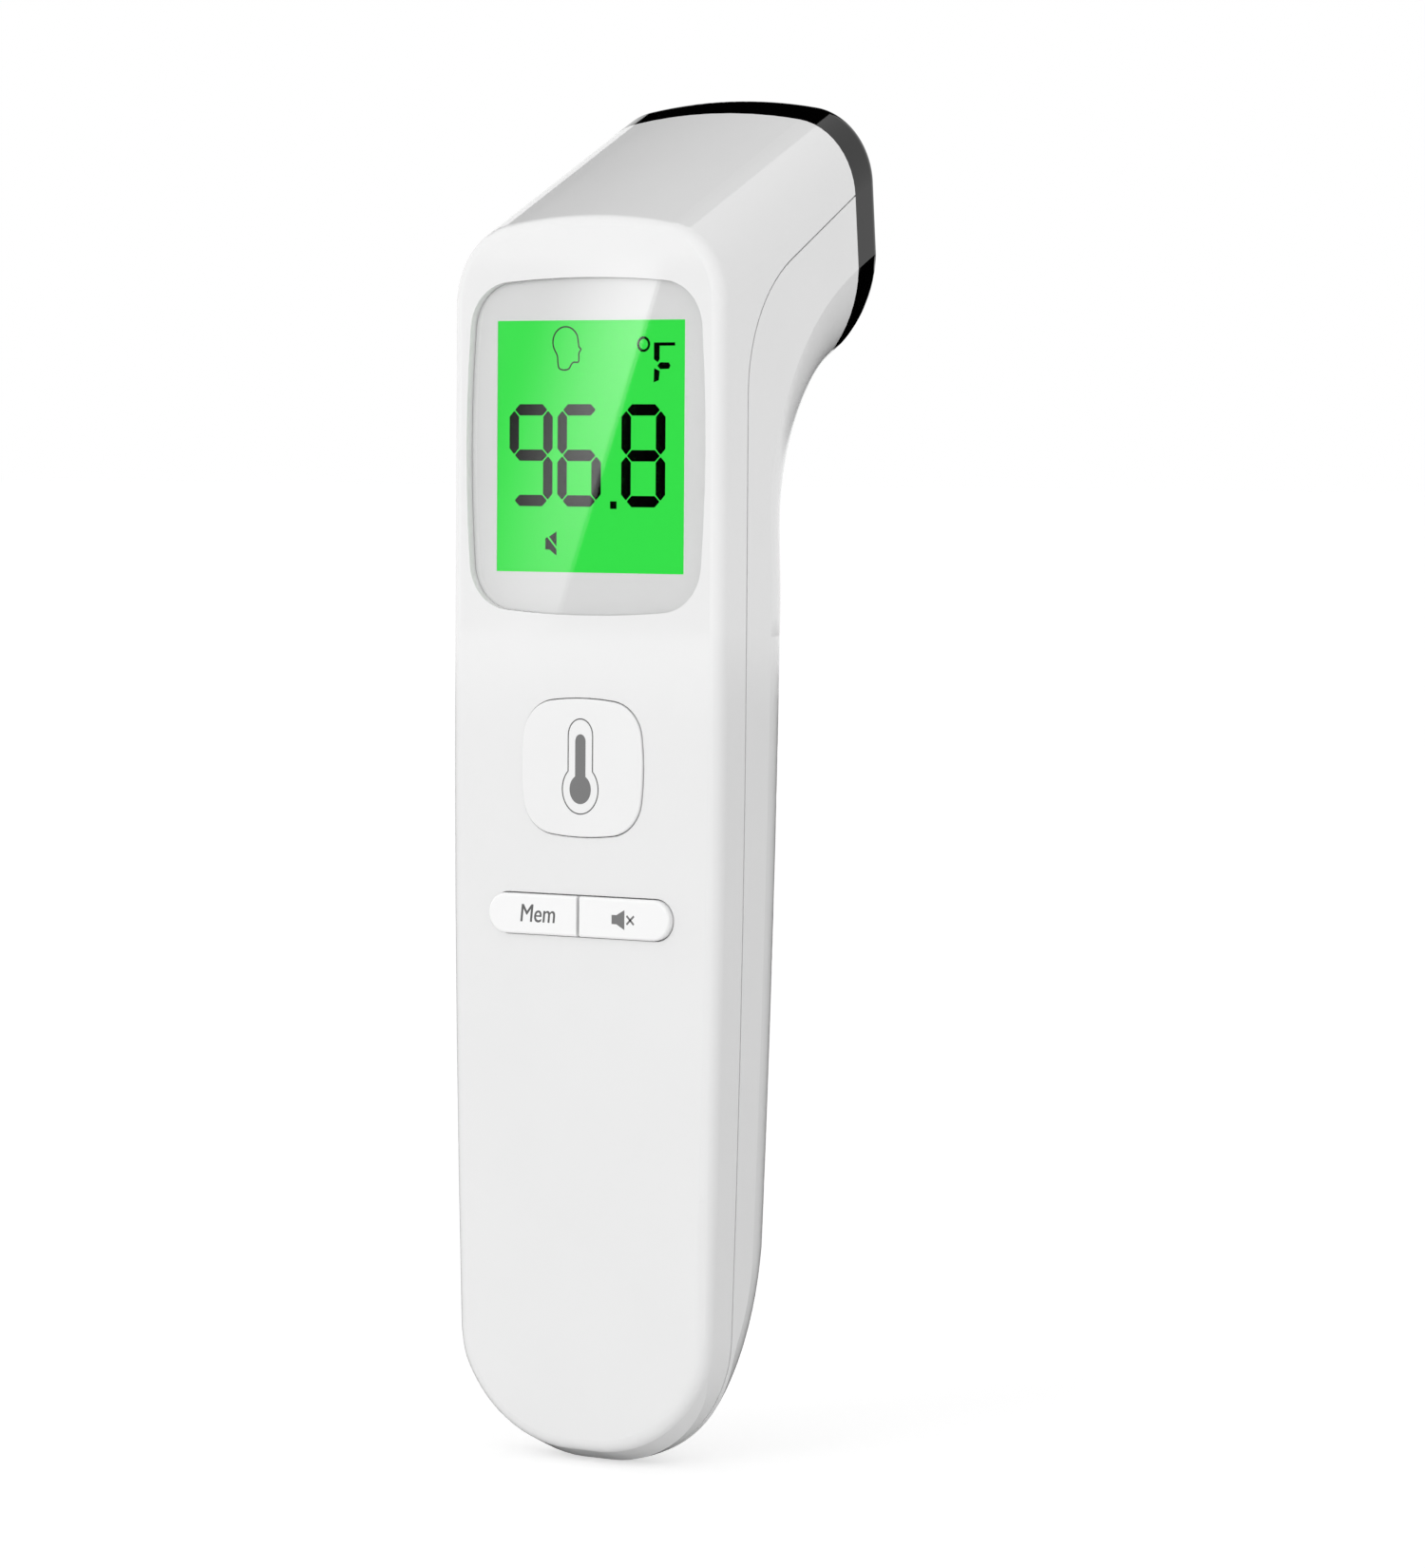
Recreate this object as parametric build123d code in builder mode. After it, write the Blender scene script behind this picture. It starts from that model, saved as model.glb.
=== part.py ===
"""Hand-held contactless thermometer: pistol-shaped housing, nose sensor, lit display, three keys, two cells.

Frame: millimetres, +Z up along the handle, the display faces -Y and the nose points to +Y.
X = 0 is the plane of symmetry. The origin lies under the middle of the whole thing's depth, at the foot.
Places are given as depth behind the front face and height above the foot.
"""
from build123d import *
import math
import os

os.makedirs("parts", exist_ok=True)

# ---------------------------------------------------------------- driving sizes: outer form
NOSE_DEPTH = 37.1        # front face to the lowest point of the nose rim
NOSE_TILT = 5.7          # degrees that the nose looks upwards
RIM = 5.3                # length of the black nose cap
HEAD_HALF = 19.65        # half width of head and upper handle
FOOT_HALF = 18.25        # half width just above the foot
FOOT_R = 16.3            # corner radius of the foot, seen from the front
TAPER_TOP = 100.2        # height where the handle starts to narrow
FACE_TOP = 150.15        # height where the front face meets the sloping top
HEAD_RISE = 0.488        # slope of the head's top and underside
ARCH_R = 75.0            # the head's top is arched across
HEAD_R = 9.0             # rounding along the head's upper edges
FACE_R = 1.6             # rounding round the front face
TOE_LIFT = 2.4           # the foot's front border is drawn back over this height
TOE_SIDE = 0.6           # and leaves the flat sides alone by this much
TOE_DEPTH = 5.6          # depth over which it is drawn back
GRIP_DEPTH = 20.1        # handle depth at the neck
HEEL_DEPTH = 18.7        # handle depth where the heel starts
HEEL_TOP = 26.2          # height where the heel starts
HEEL_DROP = 1.0          # how far the heel's curve would pass under the foot
HEEL_AXIS = -1.0         # depth of the centre that the heel turns about
REACH = 22.0             # how far the rear sections run towards the front
NECK_REACH = 32.0        # how much further they run at the nose
GRIP_R = 10.0            # rear rounding of the handle
HEEL_R = 14.3            # rear rounding under the heel
NECK_START = 108.7       # height where the neck starts to bend back
NECK_R = 24.0            # bend radius of the neck
NECK_TURN = 60.0         # degrees of that bend
NOSE_R = 16.8            # lower rounding of the nose
EASE = 0.06              # the rear rounding starts this far outside the flat sides

# ---------------------------------------------------------------- driving sizes: walls and fits
WALL = 1.8               # housing wall
LIP = 0.8                # thickness of the tongue inside the joint
LIP_REACH = 1.4          # how far the tongue reaches past the joint, each way
SEAM = 0.2               # shadow gap between the two housing halves
FIT = 0.08               # clearance of parts that are clipped in
SLIDE_FIT = 0.15         # gap round the battery door
PART_DEPTH = 5.6         # depth of the joint between the halves
PART_RISE = 0.569        # slope of that joint in the head
PART_KNEE = 140.1        # height where the two straight stretches of the joint would meet
PART_R = 18.7            # rounding between them

# ---------------------------------------------------------------- driving sizes: display and keys
VIEW_W, VIEW_H = 27.2, 30.3
WINDOW_SIDE, WINDOW_END = 3.65, 5.05    # printed border beside, and above and below, the view
WINDOW_Z = 122.8
WINDOW_BOW, WINDOW_R = 1.0, 5.8
WINDOW_SINK = 0.5        # the window lies this far below the face
WINDOW_T = 0.6
MASK_T = 0.1
GLUE_T = 0.03            # clear film between window and mask
GLASS_EDGE = 0.4         # the opening in the wall is this much larger than the view
GLASS_SIDE, GLASS_END = 1.9, 2.65       # the display cell reaches this far past the view
GLASS_T = 0.55           # each of the display's two glass plates
GLASS_REST = 0.05        # between the front wall and the glass
LEDGE = 2.5              # contact ledge along the foot of the front plate
FRAME_PLAY = 0.2
FRAME_WALL = 1.0
GUIDE_T = 2.5
STRIP_W, STRIP_H = 26.0, 2.0   # elastic connector strip
LED_W, LED_H, LED_T = 3.0, 1.4, 1.2
LED_PITCH = 8.5
KEY_W, KEY_H = 17.8, 16.9
KEY_BOW, KEY_R = 0.9, 4.8
KEY_Z = 84.2
KEY_PROUD = 0.3
PILL_W, PILL_H = 26.6, 5.15
PILL_Z = 66.3
PILL_PROUD = 0.9
PILL_SPLIT = 0.45        # gap between the two pill keys
PILL_STEM_X = 6.6
KEY_GAP = 0.12           # gap round a key
COLLAR = 0.9             # how far a key's collar reaches behind the wall
COLLAR_T = 0.7
EDGE_R = 0.35            # softened edges of keys
KEY_REST = 0.05          # between the front wall and a key's collar

# ---------------------------------------------------------------- driving sizes: boards and sensor
BOARD_DEPTH = 7.4
BOARD_T = 1.2
BOARD_W = 31.0
BOARD_LOW, BOARD_HIGH = 63.2, 144.0
POST_X, POST_LOW, POST_HIGH = 13.0, 74.5, 98.5
POST_D = 4.0
POST_SCREW_D, POST_SCREW_HEAD = 1.6, 3.0
POST_SCREW_L = 3.0
SWITCH_T = 1.9
KEY_SWITCH, PILL_SWITCH = 6.0, 4.5
STEM_D = 3.0
PLUNGER_UP = 0.8         # how far a plunger stands out of its switch
PLUNGER_L = 1.85
PLUNGER_FIT = 0.05       # radial clearance of a plunger in its switch
SWITCH_FLOOR = 0.3
CHIP, CHIP_T, CHIP_Z = 10.0, 1.5, 120.0
CRYSTAL_W, CRYSTAL_H, CRYSTAL_T = 5.0, 3.2, 1.1
CRYSTAL_X, CRYSTAL_Z = 7.0, 109.0
CAPACITOR_D, CAPACITOR_L = 4.0, 5.4
CAPACITOR_X, CAPACITOR_Z = 11.0, 130.0
BUZZER_D, BUZZER_L, BUZZER_Z = 12.0, 3.2, 88.0
BUZZER_HOLE = 2.0
CAP_FACE = 1.8           # thickness of the nose cap's face
CAP_R = 1.5              # rounding round that face
SPIGOT = 3.0             # how far the nose cap plugs into the housing
MOUTH_R, THROAT_R = 7.4, 4.0
CONE_L = 10.5
CONE_WALL = 0.9
CONE_FLANGE, CONE_FLANGE_T = 10.2, 1.0
CAN_R, CAN_L = 4.1, 3.6
CAN_BASE_R, CAN_BASE_T = 4.6, 0.6
FILTER_R, FILTER_T = 2.5, 0.4
LEAD_R, LEAD_CIRCLE, LEAD_L = 0.23, 2.54, 1.8
LEADS = 4
SENSOR_BOARD, SENSOR_BOARD_T = 15.0, 1.0
HOLDER_R, HOLDER_T = 7.0, 2.4
FLEX_W, FLEX_T = 6.0, 0.3
FLEX_START = 136.0       # height where the strip leaves the main board
FLEX_TURN, FLEX_END = 3.2, 6.8   # where it bends down and ends, below the nose axis
FLEX_BEND = 1.5

# ---------------------------------------------------------------- driving sizes: power and fasteners
CELL_D, CELL_L = 10.5, 44.5
NUB_D, NUB_L = 3.8, 0.9
CELL_DEPTH = 9.2         # depth of the cells' axes
CELL_FOOT = 13.9         # height of the cells' lower ends
CELL_PITCH = 10.6
TRAY_T = 0.8
TRAY_PLAY = 0.1          # between a cell and the tray's side
TRAY_BACK = 13.4         # depth where the tray's walls end
CONTACT_T = 0.4
CONTACT_ROOM = 3.0       # room for a spring between plate and cell
SPRING_R, WIRE_R, SPRING_PITCH = 2.4, 0.35, 1.15
WIRE_SIDES = 6           # the fine wire is given flats
PLATE_W, PLATE_D = 9.4, 5.6      # contact plates
PAD_R = 1.7
TAB_W = 2.0
TAB_L = 4.6              # how far a contact's tab stands up behind the board
DOOR_HALF = 15.8
DOOR_TOP = 65.6
DOOR_R = 4.0
DOOR_DEPTH = 9.0         # the door takes everything behind this depth
HOOK_L, HOOK_T = 4.0, 1.0
HOOK_LOW, HOOK_HIGH = 34.0, 48.0
HOOK_DEPTH = 10.2        # depth of the hooks' front faces
HOOK_X = 13.4            # inner side of a hook's web
HOOK_REACH = 1.2
RIB_T, RIB_HALF = 1.2, 8.0
TONGUE_HALF, TONGUE_T, TONGUE_L = 4.0, 0.9, 2.2
SCREW_X, SCREW_LOW, SCREW_HIGH = 14.0, 22.0, 57.0
SCREW_D, SCREW_HEAD, SCREW_HEAD_T = 2.2, 3.4, 1.2
SCREW_SEAT = 10.5        # depth of the seats under the screw heads
SCREW_PLAY = 0.2
THREAD_FIT = 0.02
CROSS_T = 0.5            # slots of the cross recesses
BOSS_D, REAR_BOSS_D = 4.4, 5.4
PILOT_FLOOR = 0.8        # left under a pilot hole

# ---------------------------------------------------------------- worked-out places
NOSE_TAN = math.tan(math.radians(NOSE_TILT))
NECK_AXIS_D = GRIP_DEPTH + NECK_R
NECK_END_D = NECK_AXIS_D - NECK_R * math.cos(math.radians(NECK_TURN))
NECK_END_Z = NECK_START + NECK_R * math.sin(math.radians(NECK_TURN))
NOSE_LOW = NECK_END_Z + HEAD_RISE * (NOSE_DEPTH - NECK_END_D)
NOSE_HIGH = (FACE_TOP + HEAD_RISE * (NOSE_DEPTH + NOSE_LOW * NOSE_TAN)) / (1 + HEAD_RISE * NOSE_TAN)
NOSE_Z = (NOSE_LOW + NOSE_HIGH) / 2
NOSE_D = NOSE_DEPTH - (NOSE_Z - NOSE_LOW) * NOSE_TAN
FACE = -(NOSE_DEPTH - PILL_PROUD) / 2      # y of the front face
BORDER = 60.0                              # clear outside everything
TAPER_R = ((TAPER_TOP - FOOT_R) ** 2 + (HEAD_HALF - FOOT_HALF) ** 2) / (2 * (HEAD_HALF - FOOT_HALF))

SIDE = Plane(origin=(0, FACE, 0), x_dir=(0, 1, 0), z_dir=(1, 0, 0))
NOSE_ANGLE = math.radians(NOSE_TILT)
# the nose axis: in the plane NOSE_CUT local x is the radius and local y runs out of the nose
NOSE_CUT = Plane(
    origin=(0, FACE + NOSE_D, NOSE_Z),
    x_dir=(1, 0, 0),
    z_dir=(0, -math.sin(NOSE_ANGLE), math.cos(NOSE_ANGLE)),
)
NOSE_AXIS = Axis((0, FACE + NOSE_D, NOSE_Z), (0, math.cos(NOSE_ANGLE), math.sin(NOSE_ANGLE)))


def facing(depth):
    """Plane parallel to the front face; extruding by a negative amount goes deeper."""
    return Plane(origin=(0, FACE + depth, 0), x_dir=(1, 0, 0), z_dir=(0, -1, 0))


def level(height):
    """Horizontal plane whose local y is the depth behind the front face."""
    return Plane(origin=(0, FACE, height), x_dir=(1, 0, 0), z_dir=(0, 0, 1))


def nose(back):
    """Plane parallel to the nose rim, a given length inside it; local y points up."""
    angle = math.radians(NOSE_TILT)
    return Plane(
        origin=(0, FACE + NOSE_D - back * math.cos(angle), NOSE_Z - back * math.sin(angle)),
        x_dir=(-1, 0, 0),
        z_dir=(0, math.cos(angle), math.sin(angle)),
    )


def half_width(height):
    """Half width of the housing's flat sides at a height."""
    drop = TAPER_TOP - min(max(height, FOOT_R), TAPER_TOP)
    return HEAD_HALF - TAPER_R + math.sqrt(TAPER_R**2 - drop**2)


def rear_section(depth, height, tilt, radius, reach, inset):
    """Cross-section of the rear form: straight sides, two rounded rear corners."""
    angle = math.radians(tilt)
    half = half_width(max(height, HEEL_TOP)) + EASE - inset
    bend = radius - inset
    plane = Plane(
        origin=(0, FACE + depth - inset * math.cos(angle), height + inset * math.sin(angle)),
        x_dir=(1, 0, 0),
        z_dir=(0, math.sin(angle), math.cos(angle)),
    )
    with BuildSketch(plane) as section:
        with BuildLine():
            Polyline((half, -bend), (half, inset - reach), (-half, inset - reach), (-half, -bend))
            RadiusArc((-half, -bend), (bend - half, 0), bend)
            Line((bend - half, 0), (half - bend, 0))
            RadiusArc((half - bend, 0), (half, -bend), bend)
        make_face()
    return section.sketch


def heel_sections(inset):
    """The heel turns under the foot on a quarter ellipse."""
    across, down = HEEL_DEPTH - HEEL_AXIS, HEEL_TOP + HEEL_DROP
    for turn in (105, 90, 72, 54, 36, 18, 0):
        cosine, sine = math.cos(math.radians(turn)), math.sin(math.radians(turn))
        radius = GRIP_R + (HEEL_R - GRIP_R) * sine
        yield rear_section(HEEL_AXIS + across * cosine, HEEL_TOP - down * sine, turn, radius, REACH, inset)


def grip_sections(inset):
    """The handle's back, nearly straight."""
    steps = 4
    for step in range(steps + 1):
        share = step / steps
        depth = HEEL_DEPTH + (GRIP_DEPTH - HEEL_DEPTH) * share
        height = HEEL_TOP + (TAPER_TOP - HEEL_TOP) * share
        yield rear_section(depth, height, 0, GRIP_R, REACH, inset)


def neck_sections(inset):
    """The neck bends back into the underside of the nose, and its rounding grows."""
    yield rear_section(GRIP_DEPTH, TAPER_TOP, 0, GRIP_R, REACH, inset)
    steps = 4
    for step in range(steps + 1):
        share = step / steps
        turn = math.radians(NECK_TURN * share)
        depth = NECK_AXIS_D - NECK_R * math.cos(turn)
        height = NECK_START + NECK_R * math.sin(turn)
        radius = GRIP_R + (NOSE_R - GRIP_R) * share
        yield rear_section(depth, height, (90 - NOSE_TILT) * share, radius, REACH + NECK_REACH * share, inset)
    beyond = NOSE_DEPTH - NECK_END_D + 4
    depth, height = NECK_END_D + beyond, NECK_END_Z + HEAD_RISE * beyond
    yield rear_section(depth, height, 90 - NOSE_TILT, NOSE_R, REACH + NECK_REACH, inset)


def front_outline(grow, low):
    """Front outline of the housing, open upwards: grown by a length, with its foot at a height."""
    half, foot, round_r = HEAD_HALF + grow, FOOT_HALF + grow, FOOT_R + grow
    with BuildSketch(facing(BORDER)) as outline:
        with BuildLine():
            Polyline((-half, TAPER_TOP), (-half, 4 * BORDER), (half, 4 * BORDER), (half, TAPER_TOP))
            RadiusArc((half, TAPER_TOP), (foot, low + round_r), TAPER_R)
            RadiusArc((foot, low + round_r), (foot - round_r, low), round_r)
            Line((foot - round_r, low), (round_r - foot, low))
            RadiusArc((round_r - foot, low), (-foot, low + round_r), round_r)
            RadiusArc((-foot, low + round_r), (-half, TAPER_TOP), TAPER_R)
        make_face()
    return outline.sketch


def side_outline(inset):
    """What the front face, the nose rim and the foot leave of the side view."""
    high = FACE_TOP + BORDER
    with BuildSketch(SIDE) as outline:
        with BuildLine():
            Polyline(
                (inset, -BORDER),
                (inset, high),
                (NOSE_DEPTH - (high - NOSE_LOW) * NOSE_TAN, high),
                (NOSE_DEPTH + (NOSE_LOW - TAPER_TOP) * NOSE_TAN, TAPER_TOP),
                (NOSE_DEPTH + (NOSE_LOW - TAPER_TOP) * NOSE_TAN, -BORDER),
                close=True,
            )
        make_face()
    return outline.sketch


def arch_outline(inset):
    """The head's arched top, seen along its slope."""
    top = FACE_TOP - inset * math.sqrt(1 + HEAD_RISE**2)
    slope, side, arch_r = math.atan(HEAD_RISE), 2 * HEAD_HALF, ARCH_R - inset
    sag = arch_r - math.sqrt(arch_r**2 - side**2)
    plane = Plane(origin=(0, FACE, top), x_dir=(1, 0, 0), z_dir=(0, math.cos(slope), math.sin(slope)))
    with BuildSketch(plane) as outline:
        with BuildLine():
            ThreePointArc((-side, sag), (0, 0), (side, sag))
            Polyline((side, sag), (side, 4 * BORDER), (-side, 4 * BORDER), (-side, sag))
        make_face()
    return outline.sketch


def body_form(inset):
    """The housing's form, every face moved inwards by the inset."""
    side_view, front_view, top_view = side_outline(inset), front_outline(-inset, inset), arch_outline(inset)
    # the toe's outline stands further down at the back of the extrusion, and passes the foot at its own depth
    toe_low = inset - TOE_SIDE - TOE_LIFT * (BORDER - TOE_DEPTH) / TOE_DEPTH
    toe_view = front_outline(TOE_SIDE - inset, toe_low)
    with BuildPart() as form:
        loft(sections=list(heel_sections(inset)))
        loft(sections=list(grip_sections(inset)))
        loft(sections=list(neck_sections(inset)))
        extrude(side_view, amount=BORDER, both=True, mode=Mode.INTERSECT)
        extrude(front_view, amount=2 * BORDER, mode=Mode.INTERSECT)
        extrude(top_view, amount=2 * BORDER, both=True, mode=Mode.INTERSECT)
        crest = faces().sort_by(Axis.Z)[-1]
        fillet(crest.edges().filter_by(GeomType.LINE), HEAD_R - inset)
        extrude(toe_view, amount=2 * BORDER, dir=(0, -TOE_DEPTH, TOE_LIFT), mode=Mode.INTERSECT)
        if inset == 0:
            fillet(faces().sort_by(Axis.Y)[0].edges(), FACE_R)
    return form.part


def soft_square(plane, width, height, bow, radius):
    """Rounded square with softly bowed sides."""
    x, z = width / 2, height / 2
    with BuildSketch(plane) as face:
        with BuildLine():
            ThreePointArc((bow - x, z - bow), (0, z), (x - bow, z - bow))
            ThreePointArc((x - bow, z - bow), (x, 0), (x - bow, bow - z))
            ThreePointArc((x - bow, bow - z), (0, -z), (bow - x, bow - z))
            ThreePointArc((bow - x, bow - z), (-x, 0), (bow - x, z - bow))
        make_face()
        fillet(vertices(), radius)
    return face.sketch


def facing_at(depth, height):
    """Plane parallel to the front face with its origin on the centre line at a height."""
    return Plane(origin=(0, FACE + depth, height), x_dir=(1, 0, 0), z_dir=(0, -1, 0))


def joint_zone(shift):
    """Everything in front of and above the joint of the two halves, grown by a shift."""
    far = 2 * BORDER
    with BuildSketch(SIDE) as zone:
        with BuildLine():
            Polyline(
                (-BORDER, -BORDER),
                (PART_DEPTH, -BORDER),
                (PART_DEPTH, PART_KNEE),
                (far, PART_KNEE + PART_RISE * (far - PART_DEPTH)),
                (far, 4 * BORDER),
                (-BORDER, 4 * BORDER),
                close=True,
            )
        make_face()
        fillet(vertices().sort_by_distance((PART_DEPTH, PART_KNEE))[0], PART_R)
        if shift:
            offset(amount=shift)
    return zone.sketch


def cut_front(shift):
    """Remove what lies in front of the joint."""
    extrude(joint_zone(shift), amount=BORDER, both=True, mode=Mode.SUBTRACT)


def keep_front(shift):
    """Keep what lies in front of the joint."""
    extrude(joint_zone(shift), amount=BORDER, both=True, mode=Mode.INTERSECT)


def nose_slab(start, end, mode):
    """A slab parallel to the nose rim between two lengths behind it."""
    with BuildSketch(nose(start)) as slab:
        Rectangle(4 * BORDER, 4 * BORDER)
    extrude(slab.sketch, amount=start - end, mode=mode)


def block(width, low, high, near, deep, mode=Mode.ADD, centre=0):
    """A block: its width and middle across, its heights and its depths."""
    with BuildSketch(facing_at(near, (low + high) / 2)) as face:
        with Locations((centre, 0)):
            Rectangle(width, high - low)
    extrude(face.sketch, amount=near - deep, mode=mode)


def rods(spots, diameter, near, deep, mode=Mode.ADD):
    """Round rods square to the front face at (x, height) spots."""
    with BuildSketch(facing(near)) as face:
        with Locations(*spots):
            Circle(diameter / 2)
    extrude(face.sketch, amount=near - deep, mode=mode)


def door_outline(gap):
    """Outline of the battery door's opening less a gap, at the depth where it starts."""
    half, top = DOOR_HALF - gap, DOOR_TOP - gap
    with BuildSketch(facing(DOOR_DEPTH + gap)) as outline:
        with BuildLine():
            Polyline((-half, -BORDER), (-half, top), (half, top), (half, -BORDER), close=True)
        make_face()
        fillet(vertices().group_by(Axis.Y)[-1], DOOR_R)
    return outline.sketch


def turned(outline):
    """A body turned about the nose axis from (radius, -length behind the rim) points."""
    with BuildSketch(NOSE_CUT) as profile:
        with BuildLine():
            Polyline(*outline, close=True)
        make_face()
    revolve(profile.sketch, axis=NOSE_AXIS)


def cell(x, foot):
    """An AAA cell standing at x; its positive nub is at the foot or at the top."""
    low = CELL_FOOT + (NUB_L if foot else 0)
    nub_end = CELL_FOOT if foot else CELL_FOOT + CELL_L - NUB_L
    with BuildSketch(level(low)) as can:
        with Locations((x, CELL_DEPTH)):
            Circle(CELL_D / 2)
    extrude(can.sketch, amount=CELL_L - NUB_L)
    chamfer(edges().filter_by(GeomType.CIRCLE), EDGE_R)
    with BuildSketch(level(nub_end)) as nub:
        with Locations((x, CELL_DEPTH)):
            Circle(NUB_D / 2)
    extrude(nub.sketch, amount=NUB_L)


def key_behind(stem_x, stem_z):
    """The stem under a key, down to its plunger."""
    rods([(stem_x, stem_z)], STEM_D, WALL, PLUNGER_TOP)


def key_switch(x, height, size):
    """A square switch body on the board with a bore for its plunger."""
    block(size, height - size / 2, height + size / 2, SWITCH_FACE, BOARD_DEPTH, centre=x)
    rods([(x, height)], STEM_D + 2 * PLUNGER_FIT, SWITCH_FACE, BOARD_DEPTH - SWITCH_FLOOR, Mode.SUBTRACT)


def key_plunger(x, height):
    """The round plunger between a key's stem and its switch."""
    rods([(x, height)], STEM_D, PLUNGER_TOP, PLUNGER_TOP + PLUNGER_L)


def crossed(spots, slot, reach, head_end, sink):
    """Cross recesses in screw heads."""
    for x, height in spots:
        block(slot, height - reach, height + reach, head_end - sink, head_end, Mode.SUBTRACT, centre=x)
        block(2 * reach, height - slot / 2, height + slot / 2, head_end - sink, head_end,
              Mode.SUBTRACT, centre=x)


def finish(piece, name):
    """Label a finished piece and write it."""
    piece.part.label = name
    export_step(piece.part, f"parts/{name}.step")


SCREW_SPOTS = [(x, z) for x in (-SCREW_X, SCREW_X) for z in (SCREW_LOW, SCREW_HIGH)]
POST_SPOTS = [(x, z) for x in (-POST_X, POST_X) for z in (POST_LOW, POST_HIGH)]
WINDOW_W, WINDOW_H = VIEW_W + 2 * WINDOW_SIDE, VIEW_H + 2 * WINDOW_END
MASK_TOP = WINDOW_SINK + WINDOW_T + GLUE_T
POCKET_DEPTH = MASK_TOP + MASK_T
GLASS_W, GLASS_H = VIEW_W + 2 * GLASS_SIDE, VIEW_H + 2 * GLASS_END
FRAME_W = GLASS_W + 2 * (FRAME_PLAY + FRAME_WALL)
FRAME_H = GLASS_H + 2 * (FRAME_PLAY + FRAME_WALL)
BAY_HALF = (CELL_PITCH + CELL_D) / 2 + TRAY_PLAY
BAY_LOW = CELL_FOOT - CONTACT_ROOM - CONTACT_T
BAY_HIGH = CELL_FOOT + CELL_L + CONTACT_ROOM + CONTACT_T
BAY_FLOOR = CELL_DEPTH - CELL_D / 2 - TRAY_PLAY * 2
BOARD_BACK = BOARD_DEPTH + BOARD_T
SWITCH_FACE = BOARD_DEPTH - SWITCH_T
PLUNGER_TOP = SWITCH_FACE - PLUNGER_UP
SHELF = TRAY_BACK + 2.0
TAB_X = CELL_PITCH / 2
PLATE_HIGH = BAY_HIGH - CONTACT_T
TAB_END = PLATE_HIGH + TAB_L
GLASS_FRONT = WALL + GLASS_REST
GLASS_BACK = GLASS_FRONT + 2 * GLASS_T
GLASS_LOW, GLASS_HIGH = WINDOW_Z - GLASS_H / 2, WINDOW_Z + GLASS_H / 2
GUIDE_BACK = GLASS_BACK + FIT + GUIDE_T
COLLAR_TOP = WALL + KEY_REST
CAPACITOR_BACK = BOARD_BACK + CAPACITOR_L
SOCKET = CONE_L + CONE_WALL / 2            # lengths behind the nose rim
CAN_TOP = SOCKET + FIT
CAN_END = CAN_TOP + CAN_L
BASE_END = CAN_END + FIT + CAN_BASE_T
FLANGE_END = CAP_FACE + CONE_FLANGE_T

OUTER = body_form(0)
CORE = body_form(WALL / 2)
INNER = body_form(WALL)
TONGUE_OUT = body_form(WALL + FIT)
TONGUE_IN = body_form(WALL + FIT + LIP)

# ================================================================ housing
with BuildPart() as front_shell:
    add(OUTER)
    add(INNER, mode=Mode.SUBTRACT)
    keep_front(0)
    nose_slab(-BORDER, RIM, Mode.SUBTRACT)
    # window pocket with its ledge, and the hole the glass looks through
    pocket = soft_square(
        facing_at(POCKET_DEPTH, WINDOW_Z), WINDOW_W + 2 * FIT, WINDOW_H + 2 * FIT, WINDOW_BOW, WINDOW_R
    )
    extrude(pocket, amount=BORDER, mode=Mode.SUBTRACT)
    hole_w, hole_h = VIEW_W + 2 * (GLASS_EDGE + FIT), VIEW_H + 2 * (GLASS_EDGE + FIT)
    block(hole_w, WINDOW_Z - hole_h / 2, WINDOW_Z + hole_h / 2, -BORDER, WALL + SEAM, Mode.SUBTRACT)
    # key holes
    key_hole = soft_square(facing_at(WALL + SEAM, KEY_Z), KEY_W, KEY_H, KEY_BOW, KEY_R)
    extrude(key_hole, amount=BORDER, mode=Mode.SUBTRACT)
    with BuildSketch(facing_at(WALL + SEAM, PILL_Z)):
        SlotOverall(PILL_W, PILL_H)
    extrude(amount=BORDER, mode=Mode.SUBTRACT)
    # screw bosses and board posts, with their pilot holes
    rods(SCREW_SPOTS, BOSS_D, WALL / 2, PART_DEPTH)
    rods(SCREW_SPOTS, SCREW_D, WALL + PILOT_FLOOR, PART_DEPTH, Mode.SUBTRACT)
    rods(POST_SPOTS, POST_D, WALL / 2, BOARD_DEPTH)
    rods(POST_SPOTS, POST_SCREW_D, BOARD_DEPTH - POST_SCREW_L, BOARD_DEPTH, Mode.SUBTRACT)
finish(front_shell, "front_shell")

with BuildPart() as joint_lip:
    add(CORE)
    add(TONGUE_IN, mode=Mode.SUBTRACT)
    cut_front(SEAM)
    keep_front(SEAM + LIP_REACH)

with BuildPart() as joint_tongue:
    add(TONGUE_OUT)
    add(TONGUE_IN, mode=Mode.SUBTRACT)
    cut_front(-LIP_REACH)
    keep_front(SEAM + LIP_REACH)
    rods(SCREW_SPOTS, BOSS_D + 2 * FIT, 0, PART_DEPTH + SEAM, Mode.SUBTRACT)

with BuildPart() as door_room:
    # the space of the door's own wall
    add(OUTER)
    add(TONGUE_OUT, mode=Mode.SUBTRACT)
    extrude(door_outline(0), amount=-BORDER, mode=Mode.INTERSECT)

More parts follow.
